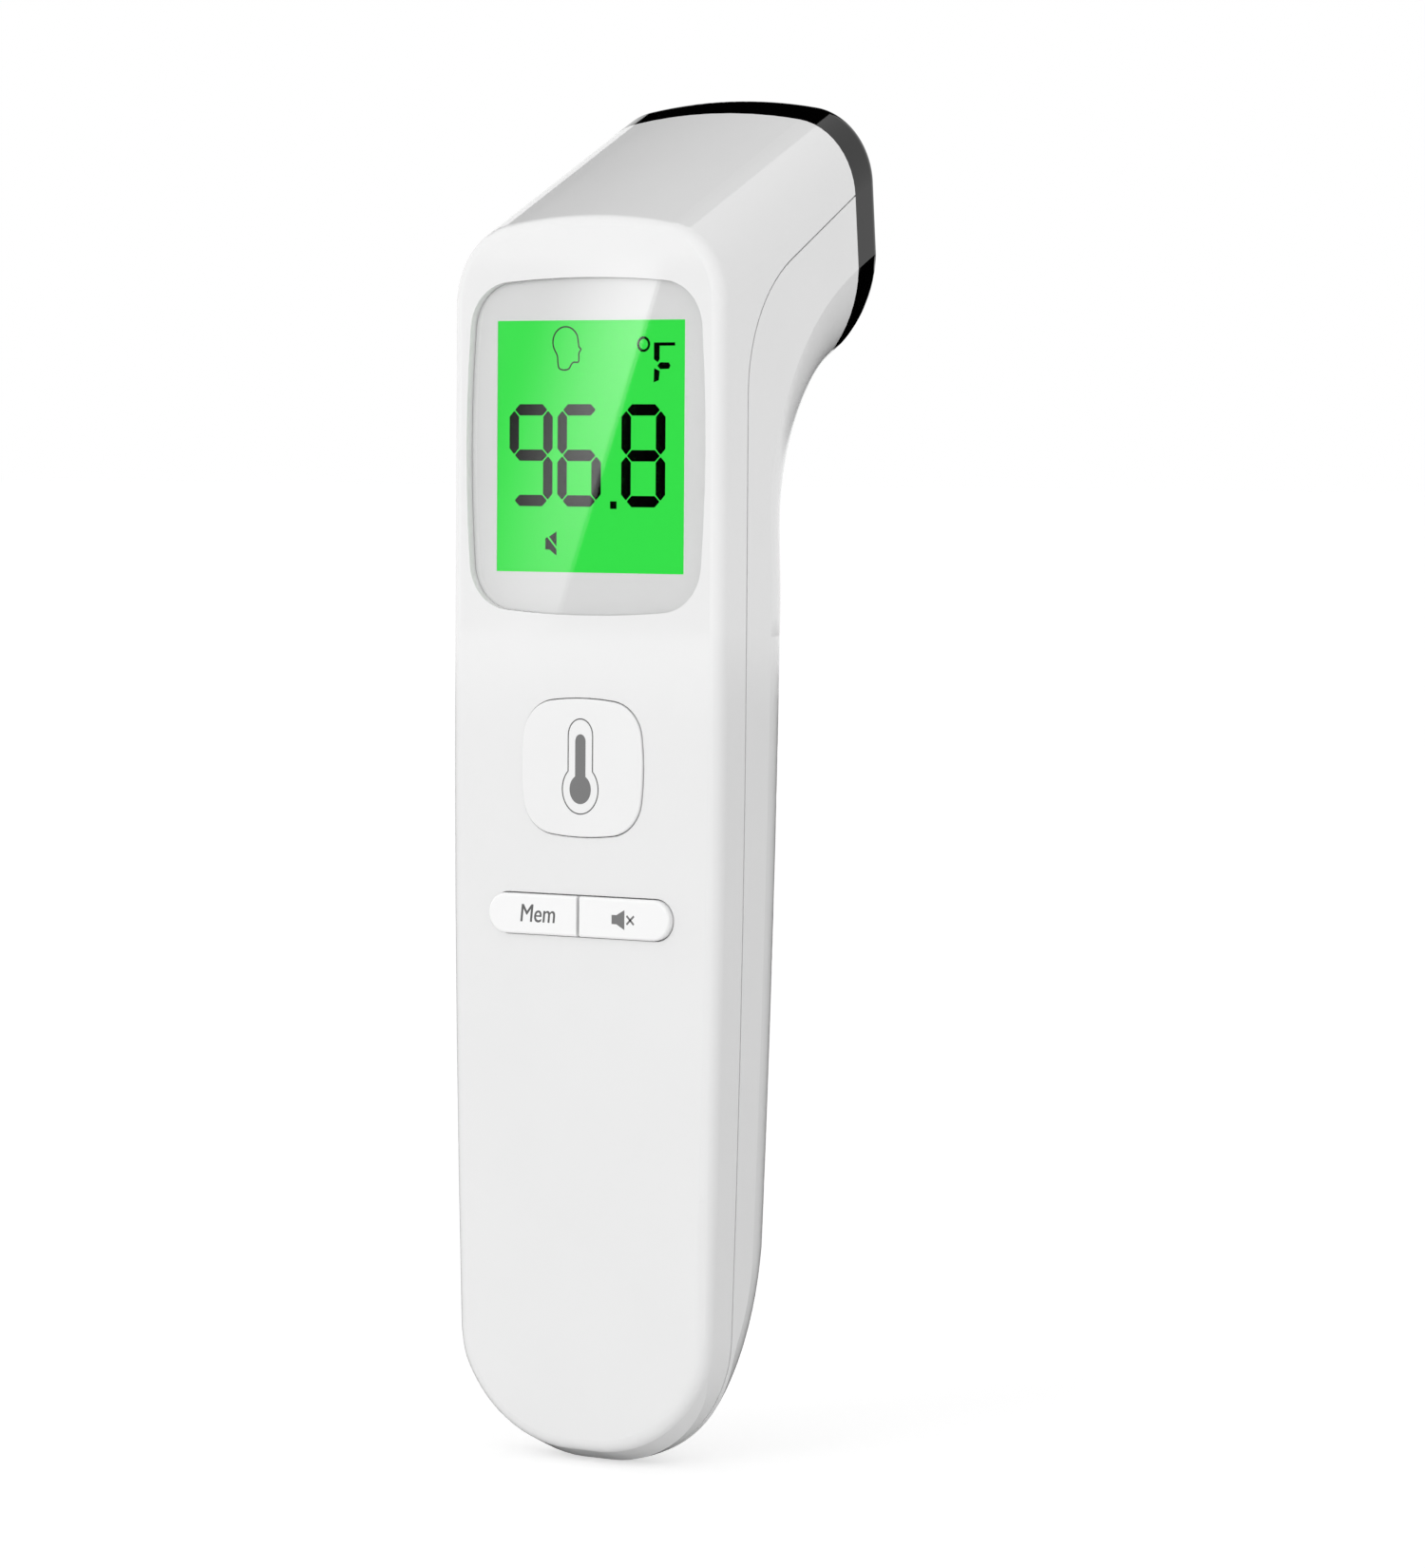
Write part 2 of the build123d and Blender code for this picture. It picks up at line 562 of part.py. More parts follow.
with BuildPart() as bay_frame:
    # battery tray: floor, sides and end walls, with the shelf above it
    block(2 * (BAY_HALF + TRAY_T), BAY_LOW - TRAY_T, BAY_HIGH + TRAY_T, BAY_FLOOR - TRAY_T, TRAY_BACK)
    block(2 * BORDER, BAY_LOW - TRAY_T, BAY_LOW, PART_DEPTH + SEAM, TRAY_BACK)
    block(2 * BORDER, BAY_HIGH, BAY_HIGH + TRAY_T, PART_DEPTH + SEAM, SHELF)
    block(2 * BORDER, BAY_HIGH, DOOR_TOP + TONGUE_L + WALL, SHELF - TRAY_T, SHELF)
    block(2 * BORDER, DOOR_TOP + TONGUE_L + TRAY_T, DOOR_TOP + TONGUE_L + WALL, SHELF - TRAY_T, 2 * BORDER)
    # screw bosses and the ledges that the door hooks catch
    rods(SCREW_SPOTS, REAR_BOSS_D, PART_DEPTH + SEAM, SCREW_SEAT)
    for side in (-1, 1):
        for low in (HOOK_LOW, HOOK_HIGH):
            ledge_x = HOOK_X + HOOK_T + SLIDE_FIT
            ledge_near = HOOK_DEPTH + HOOK_T + SLIDE_FIT
            block(
                BORDER, low, low + HOOK_L, ledge_near, ledge_near + HOOK_T,
                centre=side * (ledge_x + BORDER / 2),
            )
    rods(SCREW_SPOTS, SCREW_D + SCREW_PLAY, 0, SCREW_SEAT, Mode.SUBTRACT)
    block(2 * BAY_HALF, BAY_LOW, BAY_HIGH, BAY_FLOOR, BORDER, Mode.SUBTRACT)
    for tab in (-TAB_X, TAB_X):
        block(
            TAB_W + 2 * FIT, BAY_HIGH, BAY_HIGH + TRAY_T, BOARD_BACK - FIT, BOARD_BACK + CONTACT_T + FIT,
            Mode.SUBTRACT, centre=tab,
        )
    add(CORE, mode=Mode.INTERSECT)
    add(door_room.part, mode=Mode.SUBTRACT)

with BuildPart() as mouth_core:
    # the inside of the nose, where the cap's spigot goes
    add(INNER)
    nose_slab(RIM, RIM + SPIGOT + SEAM, Mode.INTERSECT)

with BuildPart() as rear_shell:
    add(OUTER)
    add(INNER, mode=Mode.SUBTRACT)
    cut_front(SEAM)
    nose_slab(-BORDER, RIM, Mode.SUBTRACT)
    add(joint_lip.part)
    add(joint_tongue.part)
    nose_slab(-BORDER, RIM, Mode.SUBTRACT)
    add(mouth_core.part, mode=Mode.SUBTRACT)
    # the opening that the battery door closes
    extrude(door_outline(0), amount=-BORDER, mode=Mode.SUBTRACT)
    add(bay_frame.part)
finish(rear_shell, "rear_shell")

with BuildPart() as door_skin:
    # the wall's own curve, cut to the opening less its gap
    add(OUTER)
    add(INNER, mode=Mode.SUBTRACT)
    extrude(door_outline(SLIDE_FIT), amount=-BORDER, mode=Mode.INTERSECT)

with BuildPart() as door_fittings:
    # hooks on both sides, ribs that hold the cells, and the latch tongue
    for side in (-1, 1):
        for low in (HOOK_LOW, HOOK_HIGH):
            block(HOOK_T, low, low + HOOK_L, HOOK_DEPTH, BORDER, centre=side * (HOOK_X + HOOK_T / 2))
            block(
                HOOK_T + HOOK_REACH, low, low + HOOK_L, HOOK_DEPTH, HOOK_DEPTH + HOOK_T,
                centre=side * (HOOK_X + (HOOK_T + HOOK_REACH) / 2),
            )
    for rib in (CELL_FOOT + CELL_L / 4, CELL_FOOT + CELL_L * 3 / 4):
        block(2 * RIB_HALF, rib, rib + RIB_T, CELL_DEPTH + CELL_D / 2 + SLIDE_FIT, BORDER)
    block(2 * TONGUE_HALF, DOOR_TOP - 3 * WALL, DOOR_TOP - SLIDE_FIT, SHELF + SLIDE_FIT, BORDER)
    add(CORE, mode=Mode.INTERSECT)
    block(
        2 * TONGUE_HALF, DOOR_TOP - WALL, DOOR_TOP + TONGUE_L, SHELF + SLIDE_FIT,
        SHELF + SLIDE_FIT + TONGUE_T,
    )

with BuildPart() as battery_door:
    add(door_skin.part)
    add(door_fittings.part)
finish(battery_door, "battery_door")

# ================================================================ nose
with BuildPart() as cap_hollow:
    add(INNER)
    nose_slab(CAP_FACE, RIM, Mode.INTERSECT)

with BuildPart() as cap_spigot:
    add(TONGUE_OUT)
    add(TONGUE_IN, mode=Mode.SUBTRACT)
    nose_slab(RIM - CAP_FACE, RIM + SPIGOT, Mode.INTERSECT)

with BuildPart() as spigot_root:
    add(CORE)
    add(TONGUE_IN, mode=Mode.SUBTRACT)
    nose_slab(RIM - CAP_FACE, RIM, Mode.INTERSECT)

with BuildPart() as nose_cap:
    add(OUTER)
    nose_slab(0, RIM, Mode.INTERSECT)
    add(cap_hollow.part, mode=Mode.SUBTRACT)
    add(spigot_root.part)
    add(cap_spigot.part)
    with BuildSketch(nose(0)) as mouth:
        Circle(MOUTH_R + CONE_WALL + FIT)
    extrude(mouth.sketch, amount=-RIM, mode=Mode.SUBTRACT)
    fillet(faces().sort_by(Axis(nose(0).origin, nose(0).z_dir))[-1].outer_wire().edges(), CAP_R)
finish(nose_cap, "nose_cap")

with BuildPart() as sensor_cone:
    turned([
        (MOUTH_R, -EDGE_R),
        (THROAT_R, -CONE_L),
        (THROAT_R, -SOCKET),
        (CAN_R + FIT, -SOCKET),
        (CAN_R + FIT, -CAN_END),
        (CAN_R + CONE_WALL, -CAN_END),
        (CAN_R + CONE_WALL, -CONE_L),
        (MOUTH_R + CONE_WALL, -FLANGE_END - CONE_WALL),
        (MOUTH_R + CONE_WALL, -FLANGE_END),
        (CONE_FLANGE, -FLANGE_END),
        (CONE_FLANGE, -CAP_FACE),
        (MOUTH_R + CONE_WALL, -CAP_FACE),
        (MOUTH_R + CONE_WALL, -EDGE_R),
    ])
finish(sensor_cone, "sensor_cone")

with BuildPart() as sensor_can:
    turned([
        (0, -CAN_TOP - FILTER_T),
        (FILTER_R + FIT, -CAN_TOP - FILTER_T),
        (FILTER_R + FIT, -CAN_TOP),
        (CAN_R, -CAN_TOP),
        (CAN_R, -CAN_END - FIT),
        (CAN_BASE_R, -CAN_END - FIT),
        (CAN_BASE_R, -BASE_END),
        (0, -BASE_END),
    ])
finish(sensor_can, "sensor_can")

with BuildPart() as sensor_filter:
    turned([(0, -CAN_TOP), (FILTER_R, -CAN_TOP), (FILTER_R, -CAN_TOP - FILTER_T), (0, -CAN_TOP - FILTER_T)])
finish(sensor_filter, "sensor_filter")

with BuildPart() as sensor_leads:
    with BuildSketch(nose(BASE_END)):
        with PolarLocations(LEAD_CIRCLE, LEADS, start_angle=45):
            Circle(LEAD_R)
    extrude(amount=-LEAD_L)
finish(sensor_leads, "sensor_leads")

with BuildPart() as sensor_holder:
    turned([
        (CAN_R + CONE_WALL + FIT, HOLDER_T - BASE_END),
        (HOLDER_R, HOLDER_T - BASE_END),
        (HOLDER_R, -BASE_END),
        (CAN_R + CONE_WALL + FIT, -BASE_END),
    ])
finish(sensor_holder, "sensor_holder")

with BuildPart() as sensor_board:
    with BuildSketch(nose(BASE_END)):
        Rectangle(SENSOR_BOARD, SENSOR_BOARD)
        with PolarLocations(LEAD_CIRCLE, LEADS, start_angle=45):
            Circle(LEAD_R + FIT, mode=Mode.SUBTRACT)
    extrude(amount=-SENSOR_BOARD_T)
finish(sensor_board, "sensor_board")

with BuildPart() as sensor_flex:
    # from the main board's back up and over to the sensor board's back
    sensor_back = nose(BASE_END + SENSOR_BOARD_T + FLEX_T / 2)
    back_d, back_z = sensor_back.origin.Y - FACE, sensor_back.origin.Z
    landing = [(back_d + drop * NOSE_TAN, back_z - drop) for drop in (FLEX_TURN, FLEX_END)]
    start_d = BOARD_BACK + FLEX_T / 2
    with BuildSketch(SIDE):
        with BuildLine():
            FilletPolyline(
                (start_d, FLEX_START), (start_d, landing[0][1]), landing[0], landing[1], radius=FLEX_BEND
            )
        trace(line_width=FLEX_T)
    extrude(amount=FLEX_W / 2, both=True)
finish(sensor_flex, "sensor_flex")

# ================================================================ display
with BuildPart() as display_window:
    pane = soft_square(facing_at(WINDOW_SINK, WINDOW_Z), WINDOW_W, WINDOW_H, WINDOW_BOW, WINDOW_R)
    extrude(pane, amount=-WINDOW_T)
finish(display_window, "display_window")

with BuildPart() as display_mask:
    sheet = soft_square(facing_at(MASK_TOP, WINDOW_Z), WINDOW_W, WINDOW_H, WINDOW_BOW, WINDOW_R)
    extrude(sheet, amount=-MASK_T)
    block(VIEW_W, WINDOW_Z - VIEW_H / 2, WINDOW_Z + VIEW_H / 2, MASK_TOP, POCKET_DEPTH, Mode.SUBTRACT)
finish(display_mask, "display_mask")

with BuildPart() as lcd_glass:
    # front plate, and a shorter rear plate that leaves a contact ledge along its foot
    block(GLASS_W, GLASS_LOW, GLASS_HIGH, GLASS_FRONT, GLASS_FRONT + GLASS_T)
    block(GLASS_W, GLASS_LOW + LEDGE, GLASS_HIGH, GLASS_FRONT + GLASS_T, GLASS_BACK)
finish(lcd_glass, "lcd_glass")

with BuildPart() as light_guide:
    block(GLASS_W, GLASS_LOW + LEDGE, GLASS_HIGH - LED_H - FIT, GLASS_BACK + FIT, GUIDE_BACK)
finish(light_guide, "light_guide")

with BuildPart() as backlight_leds:
    for place in (-1, 0, 1):
        block(LED_W, GLASS_HIGH - LED_H, GLASS_HIGH, GUIDE_BACK - LED_T, GUIDE_BACK, centre=place * LED_PITCH)
finish(backlight_leds, "backlight_leds")

with BuildPart() as zebra_strip:
    strip_low = GLASS_LOW + (LEDGE - STRIP_H) / 2
    block(STRIP_W, strip_low, strip_low + STRIP_H, GLASS_FRONT + GLASS_T, BOARD_DEPTH)
finish(zebra_strip, "zebra_strip")

with BuildPart() as lcd_frame:
    frame_low, frame_high = WINDOW_Z - FRAME_H / 2, WINDOW_Z + FRAME_H / 2
    inner_w = FRAME_W - 2 * FRAME_WALL
    block(FRAME_W, frame_low, frame_high, GLASS_FRONT, BOARD_DEPTH)
    block(inner_w, frame_low + FRAME_WALL, frame_high - FRAME_WALL, GLASS_FRONT, GUIDE_BACK, Mode.SUBTRACT)
    block(
        inner_w, frame_low + FRAME_WALL, frame_high - FRAME_WALL, GUIDE_BACK + FRAME_WALL, BOARD_DEPTH,
        Mode.SUBTRACT,
    )
    block(
        STRIP_W + 2 * FIT, strip_low - FIT, strip_low + STRIP_H + FIT, GLASS_FRONT, BOARD_DEPTH,
        Mode.SUBTRACT,
    )
finish(lcd_frame, "lcd_frame")

# ================================================================ main board
with BuildPart() as main_board:
    block(BOARD_W, BOARD_LOW, BOARD_HIGH, BOARD_DEPTH, BOARD_BACK)
    rods(POST_SPOTS, POST_SCREW_D + 2 * FIT, BOARD_DEPTH, BOARD_BACK, Mode.SUBTRACT)
finish(main_board, "main_board")

with BuildPart() as controller_chip:
    block(CHIP, CHIP_Z - CHIP / 2, CHIP_Z + CHIP / 2, BOARD_BACK, BOARD_BACK + CHIP_T)
finish(controller_chip, "controller_chip")

with BuildPart() as crystal:
    block(
        CRYSTAL_W, CRYSTAL_Z - CRYSTAL_H / 2, CRYSTAL_Z + CRYSTAL_H / 2, BOARD_BACK,
        BOARD_BACK + CRYSTAL_T, centre=CRYSTAL_X,
    )
finish(crystal, "crystal")

with BuildPart() as capacitors:
    rods([(-CAPACITOR_X, CAPACITOR_Z), (CAPACITOR_X, CAPACITOR_Z)], CAPACITOR_D, BOARD_BACK, CAPACITOR_BACK)
finish(capacitors, "capacitors")

with BuildPart() as buzzer:
    rods([(0, BUZZER_Z)], BUZZER_D, BOARD_BACK, BOARD_BACK + BUZZER_L)
    rods([(0, BUZZER_Z)], BUZZER_HOLE, BOARD_BACK + BUZZER_L / 2, BOARD_BACK + BUZZER_L, Mode.SUBTRACT)
finish(buzzer, "buzzer")

# ================================================================ keys
with BuildPart() as measure_button:
    top = soft_square(
        facing_at(-KEY_PROUD, KEY_Z), KEY_W - 2 * KEY_GAP, KEY_H - 2 * KEY_GAP, KEY_BOW, KEY_R - KEY_GAP
    )
    extrude(top, amount=-KEY_PROUD - COLLAR_TOP)
    fillet(faces().sort_by(Axis.Y)[0].edges(), EDGE_R / 2)
    collar = soft_square(
        facing_at(COLLAR_TOP, KEY_Z), KEY_W + 2 * COLLAR, KEY_H + 2 * COLLAR, KEY_BOW, KEY_R + COLLAR
    )
    extrude(collar, amount=-COLLAR_T)
    key_behind(0, KEY_Z)
finish(measure_button, "measure_button")

with BuildPart() as pill_pair:
    # both lower keys in one stadium form
    with BuildSketch(facing_at(-PILL_PROUD, PILL_Z)):
        SlotOverall(PILL_W - 2 * KEY_GAP, PILL_H - 2 * KEY_GAP)
    extrude(amount=-PILL_PROUD - COLLAR_TOP)
    fillet(faces().sort_by(Axis.Y)[0].edges(), EDGE_R)
    with BuildSketch(facing_at(COLLAR_TOP, PILL_Z)):
        SlotOverall(PILL_W + 2 * COLLAR, PILL_H + 2 * COLLAR)
    extrude(amount=-COLLAR_T)
    block(PILL_SPLIT, PILL_Z - PILL_H, PILL_Z + PILL_H, -PILL_PROUD, BOARD_DEPTH, Mode.SUBTRACT)

with BuildPart() as mem_button:
    add(pill_pair.part)
    block(
        BORDER, PILL_Z - PILL_H, PILL_Z + PILL_H, -PILL_PROUD, BOARD_DEPTH, Mode.SUBTRACT,
        centre=BORDER / 2,
    )
    key_behind(-PILL_STEM_X, PILL_Z)
finish(mem_button, "mem_button")

with BuildPart() as mute_button:
    add(pill_pair.part)
    block(
        BORDER, PILL_Z - PILL_H, PILL_Z + PILL_H, -PILL_PROUD, BOARD_DEPTH, Mode.SUBTRACT,
        centre=-BORDER / 2,
    )
    key_behind(PILL_STEM_X, PILL_Z)
finish(mute_button, "mute_button")

with BuildPart() as measure_plunger:
    key_plunger(0, KEY_Z)
finish(measure_plunger, "measure_plunger")

with BuildPart() as mem_plunger:
    key_plunger(-PILL_STEM_X, PILL_Z)
finish(mem_plunger, "mem_plunger")

with BuildPart() as mute_plunger:
    key_plunger(PILL_STEM_X, PILL_Z)
finish(mute_plunger, "mute_plunger")

with BuildPart() as measure_switch:
    key_switch(0, KEY_Z, KEY_SWITCH)
finish(measure_switch, "measure_switch")

with BuildPart() as mem_switch:
    key_switch(-PILL_STEM_X, PILL_Z, PILL_SWITCH)
finish(mem_switch, "mem_switch")

with BuildPart() as mute_switch:
    key_switch(PILL_STEM_X, PILL_Z, PILL_SWITCH)
finish(mute_switch, "mute_switch")

# ================================================================ power
with BuildPart() as battery_left:
    cell(-TAB_X, False)
finish(battery_left, "battery_left")

with BuildPart() as battery_right:
    cell(TAB_X, True)
finish(battery_right, "battery_right")


def contact_plate(x, low, pad_low, pad_high):
    """A spring-sheet plate at the end of a cell, with a raised pad unless its heights are equal."""
    near, deep = CELL_DEPTH - PLATE_D / 2, CELL_DEPTH + PLATE_D / 2
    block(PLATE_W, low, low + CONTACT_T, near, deep, centre=x)
    if pad_low != pad_high:
        with BuildSketch(level(pad_low)) as pad:
            with Locations((x, CELL_DEPTH)):
                Circle(PAD_R)
        extrude(pad.sketch, amount=pad_high - pad_low)


with BuildPart() as contact_bridge:
    contact_plate(-TAB_X, BAY_LOW, 0, 0)
    contact_plate(TAB_X, BAY_LOW, BAY_LOW + CONTACT_T, CELL_FOOT)
    block(CELL_PITCH, BAY_LOW, BAY_LOW + CONTACT_T, CELL_DEPTH - PAD_R, CELL_DEPTH + PAD_R)
finish(contact_bridge, "contact_bridge")

with BuildPart() as contact_positive:
    contact_plate(-TAB_X, PLATE_HIGH, CELL_FOOT + CELL_L, PLATE_HIGH)
    block(TAB_W, PLATE_HIGH, TAB_END, BOARD_BACK, BOARD_BACK + CONTACT_T, centre=-TAB_X)
finish(contact_positive, "contact_positive")

with BuildPart() as contact_negative:
    contact_plate(TAB_X, PLATE_HIGH, 0, 0)
    block(TAB_W, PLATE_HIGH, TAB_END, BOARD_BACK, BOARD_BACK + CONTACT_T, centre=TAB_X)
finish(contact_negative, "contact_negative")

with BuildPart() as contact_springs:
    # one coil under the left cell and one over the right cell
    for x, low in ((-TAB_X, BAY_LOW + CONTACT_T), (TAB_X, CELL_FOOT + CELL_L)):
        coil = Helix(
            pitch=SPRING_PITCH, height=CONTACT_ROOM - 2 * WIRE_R, radius=SPRING_R,
            center=(x, FACE + CELL_DEPTH, low + WIRE_R),
        )
        with BuildSketch(Plane(origin=coil @ 0, z_dir=coil % 0)) as wire:
            RegularPolygon(WIRE_R, WIRE_SIDES)
        sweep(wire.sketch, path=coil)
finish(contact_springs, "contact_springs")

# ================================================================ screws
with BuildPart() as housing_screws:
    rods(SCREW_SPOTS, SCREW_HEAD, SCREW_SEAT, SCREW_SEAT + SCREW_HEAD_T)
    rods(SCREW_SPOTS, SCREW_D - 2 * THREAD_FIT, WALL + PILOT_FLOOR + SEAM, SCREW_SEAT)
    crossed(SCREW_SPOTS, CROSS_T, SCREW_HEAD / 3, SCREW_SEAT + SCREW_HEAD_T, SCREW_HEAD_T / 2)
finish(housing_screws, "housing_screws")

with BuildPart() as board_screws:
    rods(POST_SPOTS, POST_SCREW_HEAD, BOARD_BACK, BOARD_BACK + BOARD_T)
    rods(POST_SPOTS, POST_SCREW_D - 2 * THREAD_FIT, BOARD_DEPTH - POST_SCREW_L + SEAM, BOARD_BACK)
    crossed(POST_SPOTS, CROSS_T, POST_SCREW_HEAD / 3, BOARD_BACK + BOARD_T, BOARD_T / 2)
finish(board_screws, "board_screws")
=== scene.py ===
"""Looks of a hand-held contactless thermometer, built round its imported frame.

The housing, keys, cap and window are the frame's own nodes with procedural finishes. The printed and lit
signs (reading, unit, pictograms, key legends) are thin plates worked out with numpy. Lengths in this file are
millimetres until a mesh is made, in the frame's axes: +X right, +Y into the thing, +Z up.
"""

import logging
import math
from dataclasses import dataclass
from enum import Enum

import bpy
import numpy as np
from mathutils import Matrix, Vector


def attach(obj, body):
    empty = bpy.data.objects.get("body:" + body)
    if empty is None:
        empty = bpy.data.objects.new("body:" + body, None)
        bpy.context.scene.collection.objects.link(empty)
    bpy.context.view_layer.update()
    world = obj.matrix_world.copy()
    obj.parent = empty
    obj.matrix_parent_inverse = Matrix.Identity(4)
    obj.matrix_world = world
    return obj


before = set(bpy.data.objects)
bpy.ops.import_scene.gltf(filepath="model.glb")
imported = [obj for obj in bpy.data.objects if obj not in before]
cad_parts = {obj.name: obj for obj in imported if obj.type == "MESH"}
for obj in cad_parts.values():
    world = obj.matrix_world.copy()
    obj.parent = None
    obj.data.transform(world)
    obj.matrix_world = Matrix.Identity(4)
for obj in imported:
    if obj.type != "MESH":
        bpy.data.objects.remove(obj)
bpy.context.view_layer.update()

LOG = logging.getLogger("thermometer")
MM = 0.001
FACE_Y = -18.1          # the front face
FRAME_PIXELS = (1500, 1650)


# ---------------------------------------------------------------- small helpers
def linear(value: float) -> float:
    """One sRGB channel, 0 to 1, as scene-linear light."""
    return value / 12.92 if value <= 0.04045 else ((value + 0.055) / 1.055) ** 2.4


def tone(red: float, green: float, blue: float) -> tuple[float, float, float, float]:
    """A colour given as 0 to 255 display values, as linear RGBA."""
    return linear(red / 255), linear(green / 255), linear(blue / 255), 1.0


def grey(value: float) -> tuple[float, float, float, float]:
    """A neutral colour given as a 0 to 255 display value."""
    return tone(value, value, value)


class NodeGraph:
    """A material's node tree with short ways to add and join nodes."""

    def __init__(self, name: str) -> None:
        """Start an empty material called name."""
        self.material = bpy.data.materials.new(name)
        self.material.use_nodes = True
        self.tree = self.material.node_tree
        self.tree.nodes.clear()

    def add(self, kind: str, **values: object) -> bpy.types.Node:
        """Add a node of a kind and set its sockets or settings.

        Args:
            kind: Blender's class name of the node.
            values: socket names with underscores for spaces, or settings of the node.

        Returns:
            The node.
        """
        node = self.tree.nodes.new(kind)
        for key, value in values.items():
            socket = key.replace("_", " ")
            if hasattr(node, key):
                setattr(node, key, value)
            else:
                node.inputs[socket].default_value = value
        return node

    def join(self, source: bpy.types.NodeSocket, target: bpy.types.NodeSocket) -> None:
        """Join an output to an input."""
        self.tree.links.new(source, target)

    def close(self, shader: bpy.types.Node) -> bpy.types.Material:
        """Join the shader to the output and return the material."""
        output = self.tree.nodes.new("ShaderNodeOutputMaterial")
        self.join(shader.outputs[0], output.inputs["Surface"])
        return self.material


# ---------------------------------------------------------------- finishes
@dataclass(frozen=True)
class Moulding:
    """Moulded plastic: even colour with faint mottling and a fine eroded grain.

    The colour is mixed between two close tones by a broad noise, and the surface is lifted by a fine noise.
    """

    name: str
    low: tuple[float, float, float, float]
    high: tuple[float, float, float, float]
    roughness: float = 0.5
    specular: float = 0.1
    mottle_per_m: float = 90.0
    grain_per_m: float = 5200.0
    grain_m: float = 0.000004
    gloss: float = 0.0
    gloss_roughness: float = 0.05

    def build(self) -> bpy.types.Material:
        """Make the material."""
        graph = NodeGraph(self.name)
        place = graph.add("ShaderNodeTexCoord")
        mottle = graph.add("ShaderNodeTexNoise", Scale=self.mottle_per_m, Detail=2.0)
        blend = graph.add("ShaderNodeMix", data_type="RGBA")
        blend.inputs["A"].default_value = self.low
        blend.inputs["B"].default_value = self.high
        grain = graph.add("ShaderNodeTexNoise", Scale=self.grain_per_m, Detail=1.0)
        bump = graph.add("ShaderNodeBump", Strength=0.35, Distance=self.grain_m)
        shader = graph.add(
            "ShaderNodeBsdfPrincipled",
            Roughness=self.roughness,
            Specular_IOR_Level=self.specular,
            Coat_Weight=self.gloss,
            Coat_Roughness=self.gloss_roughness,
        )
        graph.join(place.outputs["Object"], mottle.inputs["Vector"])
        graph.join(place.outputs["Object"], grain.inputs["Vector"])
        graph.join(mottle.outputs["Fac"], blend.inputs["Factor"])
        graph.join(blend.outputs["Result"], shader.inputs["Base Color"])
        graph.join(grain.outputs["Fac"], bump.inputs["Height"])
        graph.join(bump.outputs["Normal"], shader.inputs["Normal"])
        return graph.close(shader)


@dataclass(frozen=True)
class Metal:
    """Plated or drawn metal with a brushed roughness along one axis."""

    name: str
    colour: tuple[float, float, float, float]
    roughness: float = 0.32
    brush: tuple[float, float, float] = (400.0, 9000.0, 400.0)

    def build(self) -> bpy.types.Material:
        """Make the material."""
        graph = NodeGraph(self.name)
        place = graph.add("ShaderNodeTexCoord")
        stretch = graph.add("ShaderNodeMapping", Scale=self.brush)
        strokes = graph.add("ShaderNodeTexNoise", Scale=1.0, Detail=3.0)
        spread = graph.add("ShaderNodeMapRange")
        spread.inputs["To Min"].default_value = self.roughness - 0.1
        spread.inputs["To Max"].default_value = self.roughness + 0.12
        shader = graph.add("ShaderNodeBsdfPrincipled", Base_Color=self.colour, Metallic=1.0)
        graph.join(place.outputs["Object"], stretch.inputs["Vector"])
        graph.join(stretch.outputs["Vector"], strokes.inputs["Vector"])
        graph.join(strokes.outputs["Fac"], spread.inputs["Value"])
        graph.join(spread.outputs["Result"], shader.inputs["Roughness"])
        return graph.close(shader)


@dataclass(frozen=True)
class ClearPane:
    """A clear hard-coated window: light passes straight through, and its surface mirrors the studio."""

    name: str
    mirror: float = 0.07

    def build(self) -> bpy.types.Material:
        """Make the material."""
        graph = NodeGraph(self.name)
        shader = graph.add(
            "ShaderNodeBsdfPrincipled",
            Base_Color=(1.0, 1.0, 1.0, 1.0),
            Metallic=1.0,
            Roughness=0.015,
            Alpha=self.mirror,
        )
        return graph.close(shader)


@dataclass(frozen=True)
class LitCell:
    """The display cell: an even backlit green that is clouded very slightly."""

    name: str
    colour: tuple[float, float, float, float]
    glow: float = 1.0

    def build(self) -> bpy.types.Material:
        """Make the material."""
        graph = NodeGraph(self.name)
        place = graph.add("ShaderNodeTexCoord")
        cloud = graph.add("ShaderNodeTexNoise", Scale=60.0, Detail=1.0)
        ramp = graph.add("ShaderNodeMix", data_type="RGBA")
        ramp.inputs["A"].default_value = tuple(0.97 * c for c in self.colour[:3]) + (1.0,)
        ramp.inputs["B"].default_value = self.colour
        shader = graph.add(
            "ShaderNodeBsdfPrincipled",
            Base_Color=(0.004, 0.03, 0.005, 1.0),
            Roughness=0.5,
            Specular_IOR_Level=0.0,
            Emission_Strength=self.glow,
        )
        graph.join(place.outputs["Object"], cloud.inputs["Vector"])
        graph.join(cloud.outputs["Fac"], ramp.inputs["Factor"])
        graph.join(ramp.outputs["Result"], shader.inputs["Emission Color"])
        return graph.close(shader)


